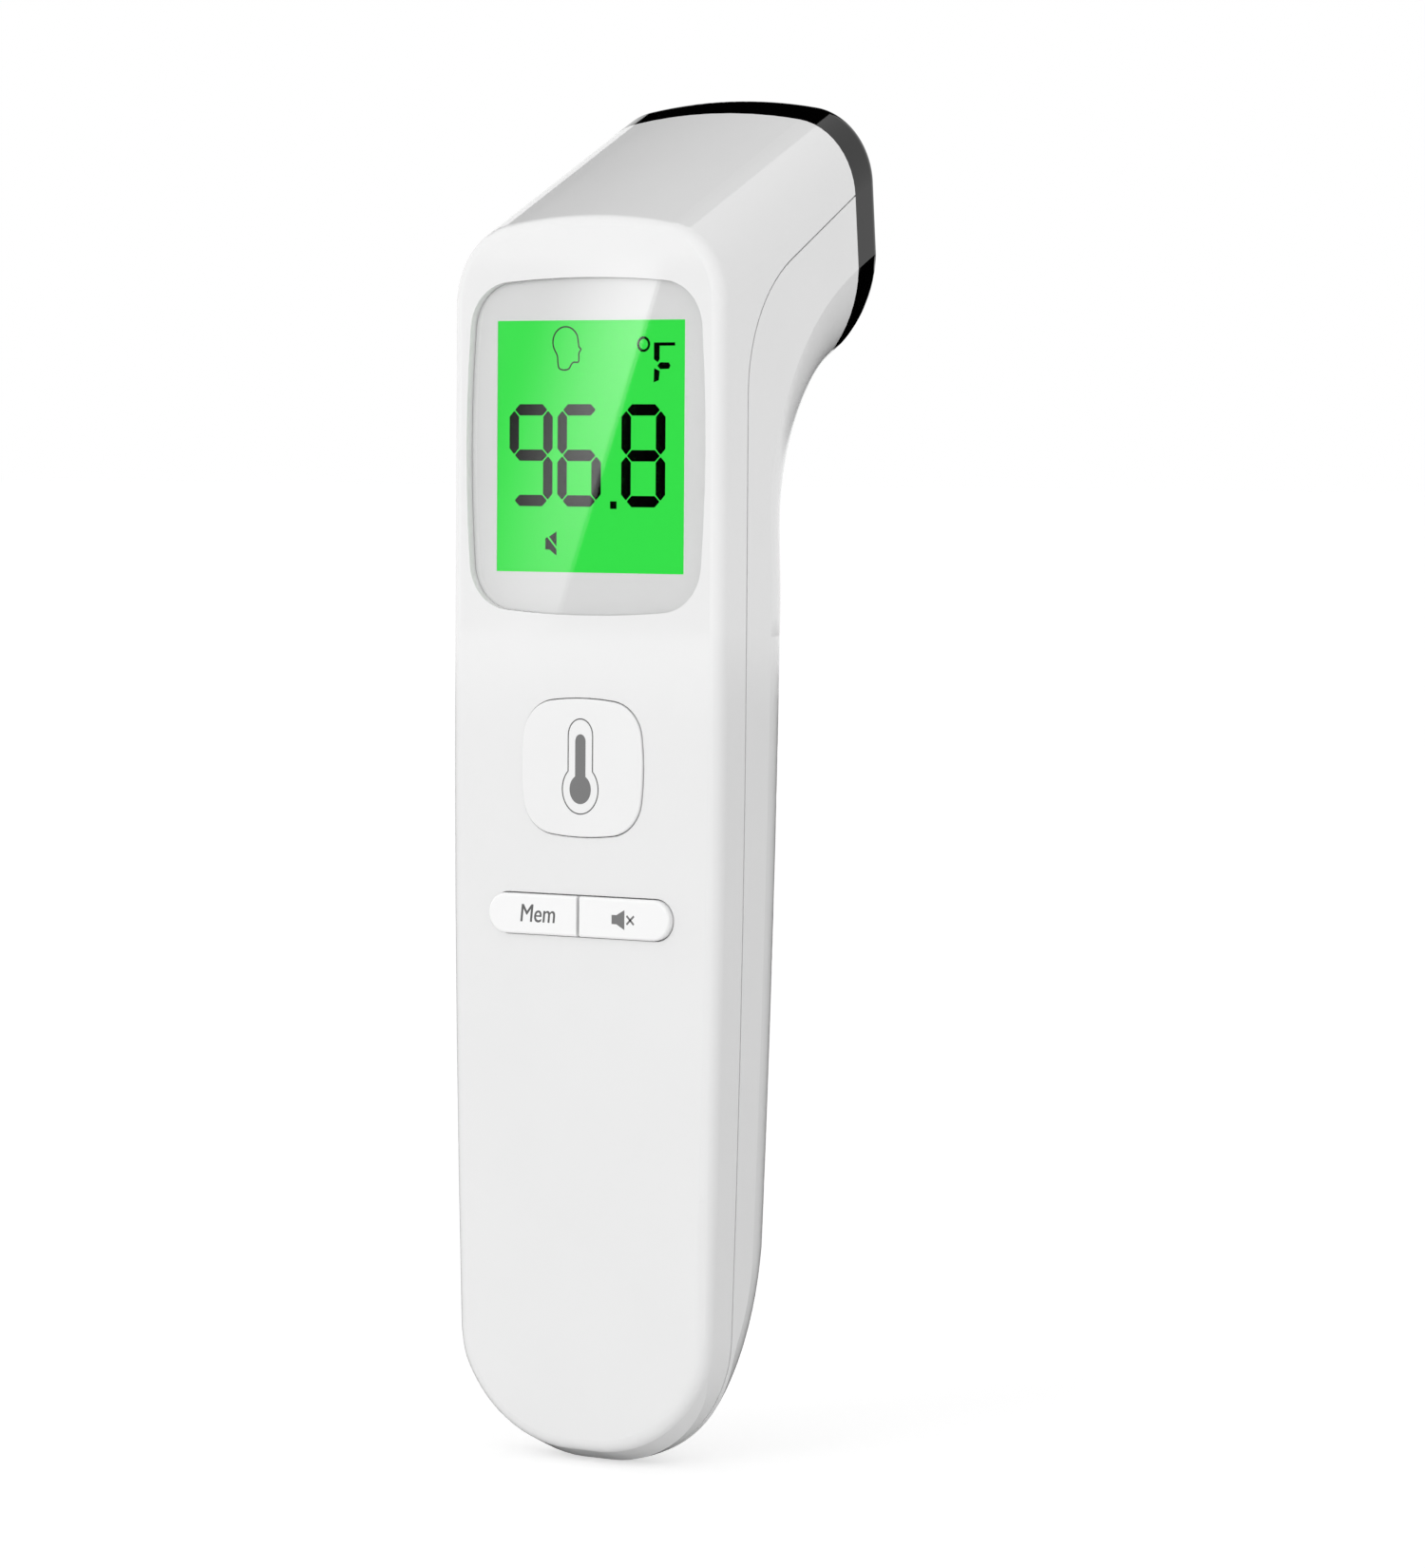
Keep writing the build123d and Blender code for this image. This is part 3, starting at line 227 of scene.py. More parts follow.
@dataclass(frozen=True)
class Laminate:
    """Circuit board: solder mask with lighter tracks where a brick pattern's joints run."""

    name: str
    mask: tuple[float, float, float, float]
    track: tuple[float, float, float, float]

    def build(self) -> bpy.types.Material:
        """Make the material."""
        graph = NodeGraph(self.name)
        place = graph.add("ShaderNodeTexCoord")
        turn = graph.add("ShaderNodeMapping")
        turn.inputs["Rotation"].default_value = (math.pi / 2, 0.0, 0.0)
        tracks = graph.add(
            "ShaderNodeTexBrick",
            Scale=170.0,
            Mortar_Size=0.06,
            Color1=self.mask,
            Color2=self.mask,
            Mortar=self.track,
        )
        shader = graph.add("ShaderNodeBsdfPrincipled", Roughness=0.3)
        graph.join(place.outputs["Object"], turn.inputs["Vector"])
        graph.join(turn.outputs["Vector"], tracks.inputs["Vector"])
        graph.join(tracks.outputs["Color"], shader.inputs["Base Color"])
        return graph.close(shader)


class Finish(Enum):
    """The finishes that the thermometer's pieces take."""

    HOUSING = Moulding("housing_white", grey(234), grey(237), gloss=1.0)
    KEYS = Moulding("key_white", grey(238), grey(241), gloss=1.0)
    PILLS = Moulding("pill_white", grey(246), grey(248), gloss=1.0)
    CAP = Moulding("cap_black", grey(1), grey(2), roughness=0.4, specular=0.0, grain_m=0.0000005, gloss=1.0)
    FUNNEL = Moulding("funnel_black", grey(22), grey(28), roughness=0.4, specular=0.3)
    MASK = Moulding("mask_pale_grey", grey(229), grey(232), grain_m=0.000001)
    INNER_WHITE = Moulding("inner_white", grey(228), grey(236), specular=0.4)
    GUIDE = Moulding("guide_milky", grey(225), grey(235), roughness=0.2, specular=0.5)
    RESIN = Moulding("resin_black", grey(20), grey(30), specular=0.4, grain_per_m=9000.0)
    RUBBER = Moulding("rubber_black", grey(24), grey(32), roughness=0.75)
    STRIP = Moulding("strip_pink_grey", tone(196, 158, 160), tone(204, 168, 170), roughness=0.6)
    FILM = Moulding("film_amber", tone(176, 112, 34), tone(190, 126, 44), roughness=0.3)
    LED = Moulding("led_cream", tone(240, 236, 205), tone(248, 244, 220), roughness=0.35)
    JACKET = Moulding("cell_jacket", tone(52, 58, 64), tone(60, 66, 72), roughness=0.3, grain_m=0.000001)
    FILTER = Moulding(
        "filter_dark", tone(52, 44, 58), tone(60, 50, 66), roughness=0.1, specular=0.5, gloss=1.0
    )
    PLATED = Metal("plated_steel", tone(206, 200, 188))
    SCREWS = Metal("screw_steel", tone(186, 186, 190), roughness=0.36, brush=(3000.0, 3000.0, 3000.0))
    CAN = Metal("bare_can", tone(214, 214, 216), roughness=0.3)
    PANE = ClearPane("clear_pane")
    CELL = LitCell("lit_green", tone(57, 235, 79))
    BOARD = Laminate("board_green", tone(20, 92, 56), tone(48, 128, 84))
    SEGMENT = Moulding("segment_black", grey(3), grey(5), roughness=0.6, specular=0.0)
    PRINT = Moulding("print_grey", grey(118), grey(128))
    PRINT_LINE = Moulding("print_line_grey", grey(96), grey(106))

    def material(self) -> bpy.types.Material:
        """The finish's material, made once."""
        made = bpy.data.materials.get(self.value.name)
        return made or self.value.build()


NODE_FINISH: dict[str, Finish] = {
    "front_shell": Finish.HOUSING,
    "rear_shell": Finish.HOUSING,
    "battery_door": Finish.HOUSING,
    "nose_cap": Finish.CAP,
    "sensor_cone": Finish.FUNNEL,
    "sensor_can": Finish.PLATED,
    "sensor_filter": Finish.FILTER,
    "sensor_leads": Finish.PLATED,
    "sensor_holder": Finish.RUBBER,
    "sensor_board": Finish.BOARD,
    "sensor_flex": Finish.FILM,
    "display_window": Finish.PANE,
    "display_mask": Finish.MASK,
    "lcd_glass": Finish.CELL,
    "lcd_frame": Finish.INNER_WHITE,
    "light_guide": Finish.GUIDE,
    "backlight_leds": Finish.LED,
    "zebra_strip": Finish.STRIP,
    "main_board": Finish.BOARD,
    "controller_chip": Finish.RESIN,
    "crystal": Finish.PLATED,
    "capacitors": Finish.CAN,
    "buzzer": Finish.RESIN,
    "measure_button": Finish.KEYS,
    "mem_button": Finish.PILLS,
    "mute_button": Finish.PILLS,
    "measure_plunger": Finish.RESIN,
    "mem_plunger": Finish.RESIN,
    "mute_plunger": Finish.RESIN,
    "measure_switch": Finish.PLATED,
    "mem_switch": Finish.PLATED,
    "mute_switch": Finish.PLATED,
    "battery_left": Finish.JACKET,
    "battery_right": Finish.JACKET,
    "contact_bridge": Finish.PLATED,
    "contact_positive": Finish.PLATED,
    "contact_negative": Finish.PLATED,
    "contact_springs": Finish.PLATED,
    "housing_screws": Finish.SCREWS,
    "board_screws": Finish.SCREWS,
}


# ---------------------------------------------------------------- flat signs as numpy plates
class Plates:
    """Thin closed plates parallel to the front face, gathered into one mesh.

    Each plate is a closed outline in (x, z), swept along y by its thickness: every outline point gives a
    front and a back point, and the sides join them.
    """

    def __init__(self) -> None:
        """Start with nothing."""
        self.points: list[np.ndarray] = []
        self.faces: list[list[int]] = []
        self.count = 0

    def layers(self, flat: np.ndarray) -> int:
        """Keep flat points twice, in front and at the back.

        Args:
            flat: the (x, z) points.

        Returns:
            The number of the first front point.
        """
        depth = np.repeat([[0.0], [1.0]], len(flat), axis=0)
        self.points.append(np.hstack([np.vstack([flat, flat]), depth]))
        first = self.count
        self.count += 2 * len(flat)
        return first

    def solid(self, outline: np.ndarray) -> None:
        """Add a plate that fills an outline of (x, z) points, given anticlockwise as seen from the front."""
        size = len(outline)
        first = self.layers(outline)
        ring = np.arange(size)
        front = first + ring
        back = first + size + ring
        after = np.roll(ring, -1)
        self.faces.append(front.tolist())
        self.faces.append(back[::-1].tolist())
        self.faces.extend(np.stack([back, first + size + after, first + after, front], axis=1).tolist())

    def band(self, path: np.ndarray, width: float) -> None:
        """Add a closed band of a width along a closed path of (x, z) points.

        Each path point is moved to both sides along the normal, which is the turned difference of its
        neighbours, by half the width.
        """
        run = np.roll(path, -1, axis=0) - np.roll(path, 1, axis=0)
        run /= np.linalg.norm(run, axis=1, keepdims=True)
        normal = np.stack([run[:, 1], -run[:, 0]], axis=1)
        size = len(path)
        outer, inner = path + normal * width / 2, path - normal * width / 2
        first = self.layers(np.vstack([outer, inner]))
        ring = np.arange(size)
        after = np.roll(ring, -1)
        a, b, c, d = (first + shift * size + ring for shift in range(4))
        a2, b2, c2, d2 = (first + shift * size + after for shift in range(4))
        quads = [(a, a2, b2, b), (c, d, d2, c2), (a, c, c2, a2), (b, b2, d2, d)]
        self.faces.extend(np.concatenate([np.stack(q, axis=1) for q in quads]).tolist())

    def mesh(self, name: str, front_y: float, thickness: float) -> bpy.types.Object:
        """Make the mesh object.

        Args:
            name: the object's name.
            front_y: where the plates' front lies, in millimetres.
            thickness: how far they reach back from it.

        Returns:
            The object, at the origin, with its faces pointing outwards.
        """
        flat = np.vstack(self.points)
        places = np.stack([flat[:, 0], front_y + flat[:, 2] * thickness, flat[:, 1]], axis=1) * MM
        data = bpy.data.meshes.new(name)
        data.from_pydata(places.tolist(), [], self.faces)
        data.validate()
        piece = bpy.data.objects.new(name, data)
        bpy.context.scene.collection.objects.link(piece)
        return piece


def dress(piece: bpy.types.Object, finish: Finish, body: str) -> None:
    """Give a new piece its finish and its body."""
    piece.data.materials.clear()
    piece.data.materials.append(finish.material())
    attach(piece, body)
    LOG.info("piece %s on %s, finish %s", piece.name, body, finish.value.name)


def smooth_loop(points: np.ndarray, steps: int = 8) -> np.ndarray:
    """A closed Catmull-Rom curve through points.

    Between two points the place is the cubic whose ends run parallel to the chords of their neighbours.
    """
    before, here = np.roll(points, 1, axis=0), points
    after, beyond = np.roll(points, -1, axis=0), np.roll(points, -2, axis=0)
    t = np.linspace(0.0, 1.0, steps, endpoint=False)[None, :, None]
    p0, p1, p2, p3 = (p[:, None, :] for p in (before, here, after, beyond))
    curve = 0.5 * (
        2 * p1 + (p2 - p0) * t + (2 * p0 - 5 * p1 + 4 * p2 - p3) * t**2 + (3 * p1 - p0 - 3 * p2 + p3) * t**3
    )
    return curve.reshape(-1, 2)


def arc(centre: tuple[float, float], radius: float, start: float, end: float, steps: int) -> np.ndarray:
    """Points on a circle between two angles in degrees."""
    turn = np.radians(np.linspace(start, end, steps))
    return np.stack([centre[0] + radius * np.cos(turn), centre[1] + radius * np.sin(turn)], axis=1)


class Stroke(Enum):
    """A digit's strokes: whether each lies, and its middle as shares of half width and half height."""

    TOP = (True, 0.0, 1.0)
    MIDDLE = (True, 0.0, 0.0)
    BOTTOM = (True, 0.0, -1.0)
    UPPER_LEFT = (False, -1.0, 0.5)
    UPPER_RIGHT = (False, 1.0, 0.5)
    LOWER_LEFT = (False, -1.0, -0.5)
    LOWER_RIGHT = (False, 1.0, -0.5)


LEFT = (Stroke.UPPER_LEFT, Stroke.LOWER_LEFT)
LEVEL = (Stroke.TOP, Stroke.MIDDLE, Stroke.BOTTOM)
STROKES: dict[str, tuple[Stroke, ...]] = {
    "9": (*LEVEL, Stroke.UPPER_LEFT, Stroke.UPPER_RIGHT, Stroke.LOWER_RIGHT),
    "6": (*LEVEL, *LEFT, Stroke.LOWER_RIGHT),
    "8": tuple(Stroke),
}


@dataclass
class Reading:
    """The lit display's dark signs: the number, its unit, the head pictogram and the sounder sign."""

    plane: float = FACE_Y + 1.80
    thickness: float = 0.03
    digits: str = "968"
    digit_centres: tuple[float, ...] = (-9.06, -2.0, 7.28)
    middle: float = 121.73
    half_width: float = 2.48
    half_height: float = 5.48
    stroke: float = 1.36
    gap: float = 0.19
    point: tuple[float, float] = (3.0, 115.8)
    point_half: float = 0.46
    unit: tuple[float, float] = (9.13, 132.9)
    head: tuple[float, float] = (-3.87, 134.6)
    sounder: tuple[float, float] = (-5.97, 111.1)
    ring_radius: float = 0.78
    ring_line: float = 0.3
    head_line: float = 0.18

    def bar(self, lying: bool, x: float, z: float, half: float, stroke: float) -> np.ndarray:
        """One stroke: a bar whose ends taper to blunt noses.

        Args:
            lying: whether the bar runs along x.
            x: middle.
            z: middle.
            half: half its length.
            stroke: its thickness.

        Returns:
            Its outline, anticlockwise from the front.
        """
        side, nib, blunt = stroke / 2, stroke * 0.47, stroke * 0.06
        quarter = np.array([[half, blunt], [half - nib, side]])
        upper = np.vstack([quarter, quarter[::-1] * (-1, 1)])
        shape = np.vstack([upper, -upper])
        if not lying:
            shape = shape[:, ::-1][::-1]
        return shape + np.array([x, z])

    def number(self) -> bpy.types.Object:
        """The reading's digits and its decimal point."""
        plates = Plates()
        for digit, centre in zip(self.digits, self.digit_centres):
            for stroke in STROKES[digit]:
                lying, across, up = stroke.value
                half = self.half_width if lying else self.half_height / 2
                plates.solid(
                    self.bar(
                        lying,
                        centre + across * self.half_width,
                        self.middle + up * self.half_height,
                        half - self.gap,
                        self.stroke,
                    )
                )
        dot = self.point_half * np.array([[-1, -1], [1, -1], [1, 1], [-1, 1]])
        plates.solid(dot + self.point)
        return plates.mesh("reading_number", self.plane, self.thickness)

    def unit_sign(self) -> bpy.types.Object:
        """A degree ring and a letter made of display strokes; its bars meet in slanted cuts."""
        plates = Plates()
        x, z = self.unit
        ring = arc((x - 1.9, z + 2.15), self.ring_radius, 0, 345, 24)
        plates.band(ring, self.ring_line)
        upright = [[-0.4, 2.35], [-0.4, 0.35], [0.15, 0.0], [0.4, 0.35], [0.4, 1.95], [0.4, 2.35]]
        top = [[-0.4, 2.35], [0.4, 1.95], [2.6, 1.95], [2.6, 2.35]]
        middle = [[0.1, -0.42], [0.5, -0.83], [1.75, -0.8], [1.95, -0.42], [1.75, -0.04], [0.5, -0.01]]
        leg = [[-0.42, -2.4], [0.3, -2.15], [0.42, -1.05], [-0.36, -0.72]]
        for bar in (upright, top, middle, leg):
            plates.solid(np.array(bar) + (x, z))
        return plates.mesh("reading_unit", self.plane, self.thickness)

    def head_sign(self) -> bpy.types.Object:
        """A head seen from its side, drawn as one thin closed line: skull, face with nose and chin, neck."""
        plates = Plates()
        skull = arc((-0.2, 0.75), 1.85, 20, 205, 12)
        neck = np.array([[-1.4, -0.9], [-1.3, -1.8], [-1.1, -2.4], [-0.4, -2.6], [0.3, -2.45], [0.6, -2.0]])
        face = np.array([[0.95, -1.68], [1.7, -1.6], [1.75, -0.6], [2.05, -0.1], [1.75, 0.2]])
        plates.band(smooth_loop(np.vstack([skull, neck, face]) + self.head), self.head_line)
        return plates.mesh("reading_head", self.plane, self.thickness)

    def sounder_sign(self) -> bpy.types.Object:
        """A small loudspeaker that a slanted gap divides into two flat pieces."""
        plates = Plates()
        plates.solid(np.array([[-0.35, 0.8], [0.72, -0.35], [0.72, 1.45]]) + self.sounder)
        lower = [[-0.9, -0.75], [-0.3, -0.75], [0.72, -1.45], [0.72, -0.7], [-0.65, 0.75], [-0.9, 0.6]]
        plates.solid(np.array(lower) + self.sounder)
        return plates.mesh("reading_sounder", self.plane, self.thickness)

    def build(self) -> None:
        """Make and dress all four signs."""
        for piece in (self.number(), self.unit_sign(), self.head_sign(), self.sounder_sign()):
            dress(piece, Finish.SEGMENT, "housing")


@dataclass
class KeyLegends:
    """The printed signs of the keys, each riding on its own key."""

    key_front: float = FACE_Y - 0.3
    pill_front: float = FACE_Y - 0.9
    ink: float = 0.012
    stem_x: float = -0.14
    stretch: float = 1.14
    bulb_z: float = 81.6
    line_width: float = 0.15
    mem_centre: tuple[float, float] = (-5.84, 66.41)
    mem_height: float = 2.15
    mem_spread: float = 2.35
    word_bold: float = 0.05
    mute_centre: tuple[float, float] = (6.63, 66.2)

    def flask(self, half: float, bulb: float, top: float, bulb_z: float) -> np.ndarray:
        """Outline of a glass thermometer: a round-topped stem that runs into a bulb, both a little tall.

        Args:
            half: half width of the stem.
            bulb: radius of the bulb.
            top: height of the stem's top.
            bulb_z: height of the bulb's centre.

        Returns:
            The outline, anticlockwise from the front.
        """
        meet = math.degrees(math.asin(half / bulb))
        tall = (1, self.stretch)
        crown = arc((0.0, 0.0), half, 0, 180, 16) * tall + (self.stem_x, top - half * self.stretch)
        bowl = arc((0.0, 0.0), bulb, 90 + meet, 450 - meet, 40) * tall + (self.stem_x, bulb_z)
        return np.vstack([crown, bowl])

    def measure_line(self) -> bpy.types.Object:
        """The thin outer line of the measuring key's sign."""
        plates = Plates()
        plates.band(self.flask(1.77, 2.6, 90.1, self.bulb_z), self.line_width)
        return plates.mesh("legend_measure_line", self.key_front - self.ink, self.ink)

    def measure_fill(self) -> bpy.types.Object:
        """The filled inner thermometer."""
        plates = Plates()
        plates.solid(self.flask(0.75, 1.55, 88.25, self.bulb_z))
        return plates.mesh("legend_measure_fill", self.key_front - self.ink, self.ink)

    def memory_word(self) -> bpy.types.Object:
        """The word on the left key, narrowed and slanted a little.

        Two copies lie a hair apart across the word, which makes its strokes bolder.
        """
        curve = bpy.data.curves.new("legend_mem", "FONT")
        curve.body = "Mem"
        curve.size = 1.0
        curve.shear = 0.12
        curve.extrude = 0.5
        curve.resolution_u = 4
        source = bpy.data.objects.new("legend_mem_source", curve)
        bpy.context.scene.collection.objects.link(source)
        data = bpy.data.meshes.new_from_object(source)
        bpy.data.objects.remove(source)
        data.name = "legend_mem"
        spots = np.empty(3 * len(data.vertices))
        data.vertices.foreach_get("co", spots)
        spots = spots.reshape(-1, 3)
        low, high = spots.min(axis=0), spots.max(axis=0)
        shares = (spots - (low + high) / 2) / (high - low)
        width = self.mem_height * self.mem_spread
        x = self.mem_centre[0] + shares[:, 0] * width
        z = self.mem_centre[1] + shares[:, 1] * self.mem_height
        y = self.pill_front - self.ink * (shares[:, 2] + 0.5)
        places = np.stack([x, y, z], axis=1)
        faces = [list(face.vertices) for face in data.polygons]
        more = [[vertex + len(places) for vertex in face] for face in faces]
        half = np.array([self.word_bold / 2, 0.001, 0.0])
        bold = bpy.data.meshes.new("legend_mem_bold")
        bold.from_pydata((np.vstack([places - half, places + half]) * MM).tolist(), [], faces + more)
        bpy.data.meshes.remove(data)
        piece = bpy.data.objects.new("legend_mem", bold)
        bpy.context.scene.collection.objects.link(piece)
        return piece

    def mute_sign(self) -> bpy.types.Object:
        """A loudspeaker and a small cross."""
        plates = Plates()
        x, z = self.mute_centre
        plates.solid(np.array([[-1.7, -0.55], [-1.0, -0.55], [-1.0, 0.55], [-1.7, 0.55]]) + (x, z))
        plates.solid(np.array([[-1.0, -0.55], [0.15, -1.2], [0.15, 1.2], [-1.0, 0.55]]) + (x, z))
        for sign in (-1, 1):
            run = np.array([0.52, sign * 0.52])
            side = np.array([-run[1], run[0]]) * 0.17
            plates.solid(np.array([-run - side, run - side, run + side, -run + side]) + (x + 0.98, z))
        return plates.mesh("legend_mute", self.pill_front - self.ink, self.ink)

    def build(self) -> None:
        """Make and dress the legends."""
        dress(self.measure_line(), Finish.PRINT_LINE, "measure_key")
        dress(self.measure_fill(), Finish.PRINT, "measure_key")
        dress(self.memory_word(), Finish.PRINT_LINE, "mem_key")
        dress(self.mute_sign(), Finish.PRINT, "mute_key")


# ---------------------------------------------------------------- the frame's own nodes
class Housing:
    """Dresses the frame's own nodes with their finishes."""

    def build(self) -> None:
        """Give every node the material of its finish."""
        for name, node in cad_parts.items():
            finish = NODE_FINISH[name]
            for slot in node.material_slots:
                slot.material = finish.material()
            LOG.info("node %s, finish %s", name, finish.value.name)
        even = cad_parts["front_shell"].modifiers.new("even_normals", "WEIGHTED_NORMAL")
        even.keep_sharp = True


# ---------------------------------------------------------------- studio
@dataclass
class Studio:
    """A white sweep with a low front light, cards that only gloss sees, and a camera.

    Attributes:
        azimuth: how far the camera stands to the right of the face's axis, in degrees.
        elevation: how far it looks down, in degrees.
        roll: its turn about its own axis, in degrees.
        distance: from the camera to the target.
        target: the place in the middle of the picture.
        pixels_per_radian: the focal length in pixels of the full frame.
        ceiling: strength of the even light from straight above.
        horizon: strength of the even light from the sides.
        bounce: light that the floor gives back besides its share of the even light.
        floor_fade: distances in metres between which the floor's mirror image turns from black to white.
        pane_mirror: share that the two faces of the display's window reflect together.
        glare_line: two (x, z) spots of the window that the glare's slanted edge runs through.
        glare_card: lowest and highest z and half width of the window's part that the card serves.
        glare_reach: how far left of the edge the glare fades out.
        glare_level: the glare far from the edge, and what it gains up to the edge.
        glare_lean: how much the glare gains with each millimetre above its middle, and that middle.
        sheet_spread: lowest and highest x, then lowest and highest y, of the dark sheet, in metres.
        sheet_z: the dark sheet's height in metres.
    """

    azimuth: float = 33.0
    elevation: float = 3.03
    roll: float = 0.39
    distance: float = 711.6
    target: tuple[float, float, float] = (18.65, FACE_Y, 82.9)
    pixels_per_radian: float = 6312.0
    ceiling: float = 0.69
    horizon: float = 1.06
    window_y: float = FACE_Y + 0.5
    bounce: float = 0.08
    floor_fade: tuple[float, float] = (1.75, 3.4)
    pane_mirror: float = 0.133
    glare_line: tuple[tuple[float, float], tuple[float, float]] = ((-4.25, 102.63), (10.02, 142.58))
    glare_card: tuple[float, float, float] = (100.5, 145.0, 19.5)
    glare_reach: float = 18.0
    glare_level: tuple[float, float] = (0.015, 0.175)
    glare_lean: tuple[float, float] = (0.0207, 130.8)
    sheet_spread: tuple[float, float, float, float] = (-1.1, -0.052, 0.1, 1.0)
    sheet_z: float = 0.76
    floor_half: float = 30.0
    floor_lift: float = 0.36

    def eye(self) -> tuple[Vector, Matrix]:
        """The camera's place in millimetres and its axes (right, up, backwards) as columns."""
        az, el, roll = (math.radians(v) for v in (self.azimuth, self.elevation, self.roll))
        ahead = Vector((-math.sin(az) * math.cos(el), math.cos(az) * math.cos(el), -math.sin(el)))
        right = Vector((math.cos(az), math.sin(az), 0.0))
        up = right.cross(ahead)
        turned_right = right * math.cos(roll) + up * math.sin(roll)
        turned_up = up * math.cos(roll) - right * math.sin(roll)
        place = Vector(self.target) - ahead * self.distance
        return place, Matrix((turned_right, turned_up, -ahead)).transposed()

    def camera(self) -> None:
        """Add the camera at its eye."""
        data = bpy.data.cameras.new("studio_camera")
        data.sensor_fit = "VERTICAL"
        data.sensor_height = 36.0
        data.lens = self.pixels_per_radian * data.sensor_height / FRAME_PIXELS[1]
        data.clip_start = 0.01
        rig = bpy.data.objects.new("studio_camera", data)
        bpy.context.scene.collection.objects.link(rig)
        place, axes = self.eye()
        rig.matrix_world = Matrix.Translation(place * MM) @ axes.to_4x4()
        bpy.context.scene.camera = rig

    def sheet(self, name: str, corners: np.ndarray, material: bpy.types.Material) -> bpy.types.Object:
        """One flat sheet of the studio, its corners in metres."""
        data = bpy.data.meshes.new(name)
        data.from_pydata(corners.tolist(), [], [list(range(len(corners)))])
        data.materials.append(material)
        item = bpy.data.objects.new(name, data)
        bpy.context.scene.collection.objects.link(item)
        return item

    def gloss_only(self, item: bpy.types.Object) -> None:
        """Let nothing but mirror rays see an item."""
        item.visible_camera = False
        item.visible_diffuse = False
        item.visible_transmission = False
        item.visible_volume_scatter = False
        item.visible_shadow = False

    def black(self) -> bpy.types.Material:
        """The dark cards' material: it sends out nothing."""
        made = bpy.data.materials.get("studio_black")
        if made:
            return made
        graph = NodeGraph("studio_black")
        return graph.close(graph.add("ShaderNodeEmission", Color=(0.0, 0.0, 0.0, 1.0), Strength=0.0))

    def floor(self) -> None:
        """A wide white floor: the camera sees its soft shadow, gloss sees it dark near the thing.

        What gloss sees rises with the distance from the middle along a smooth step, from black to white.
        """
        graph = NodeGraph("studio_floor")
        paint = graph.add("ShaderNodeBsdfDiffuse", Color=(0.8, 0.8, 0.8, 1.0))
        lift = graph.add("ShaderNodeEmission", Color=(1.0, 1.0, 1.0, 1.0), Strength=self.floor_lift)
        total = graph.add("ShaderNodeAddShader")
        plain = graph.add("ShaderNodeBsdfDiffuse", Color=(0.8, 0.8, 0.8, 1.0))
        bounce = graph.add("ShaderNodeEmission", Color=(1.0, 1.0, 1.0, 1.0), Strength=self.bounce)
        raised = graph.add("ShaderNodeAddShader")
        even = graph.add("ShaderNodeEmission", Color=(1.0, 1.0, 1.0, 1.0))
        place = graph.add("ShaderNodeTexCoord")
        reach = graph.add("ShaderNodeVectorMath", operation="LENGTH")
        rise = graph.add("ShaderNodeMapRange", interpolation_type="SMOOTHSTEP")
        rise.inputs["From Min"].default_value, rise.inputs["From Max"].default_value = self.floor_fade
        graph.join(place.outputs["Object"], reach.inputs[0])
        graph.join(reach.outputs["Value"], rise.inputs["Value"])
        graph.join(rise.outputs["Result"], even.inputs["Strength"])
        graph.join(plain.outputs[0], raised.inputs[0])
        graph.join(bounce.outputs[0], raised.inputs[1])
        path = graph.add("ShaderNodeLightPath")
        seen = graph.add("ShaderNodeMixShader")
        mirrored = graph.add("ShaderNodeMixShader")
        graph.join(paint.outputs[0], total.inputs[0])
        graph.join(lift.outputs[0], total.inputs[1])
        graph.join(path.outputs["Is Camera Ray"], seen.inputs[0])
        graph.join(raised.outputs[0], seen.inputs[1])
        graph.join(total.outputs[0], seen.inputs[2])
        graph.join(path.outputs["Is Glossy Ray"], mirrored.inputs[0])
        graph.join(seen.outputs[0], mirrored.inputs[1])
        graph.join(even.outputs[0], mirrored.inputs[2])
        wide = self.floor_half
        corners = np.array([[-wide, -wide, 0.0], [wide, -wide, 0.0], [wide, wide, 0.0], [-wide, wide, 0.0]])
        self.sheet("studio_floor", corners, graph.close(mirrored))

    def dark_card(self) -> None:
        """A dark sheet above and behind the head, for gloss only."""
        left, right, near, far = self.sheet_spread
        corners = np.array([[left, near], [right, near], [right, far], [left, far]])
        corners = np.hstack([corners, np.full((4, 1), self.sheet_z)])
        self.gloss_only(self.sheet("studio_dark_sheet", corners, self.black()))

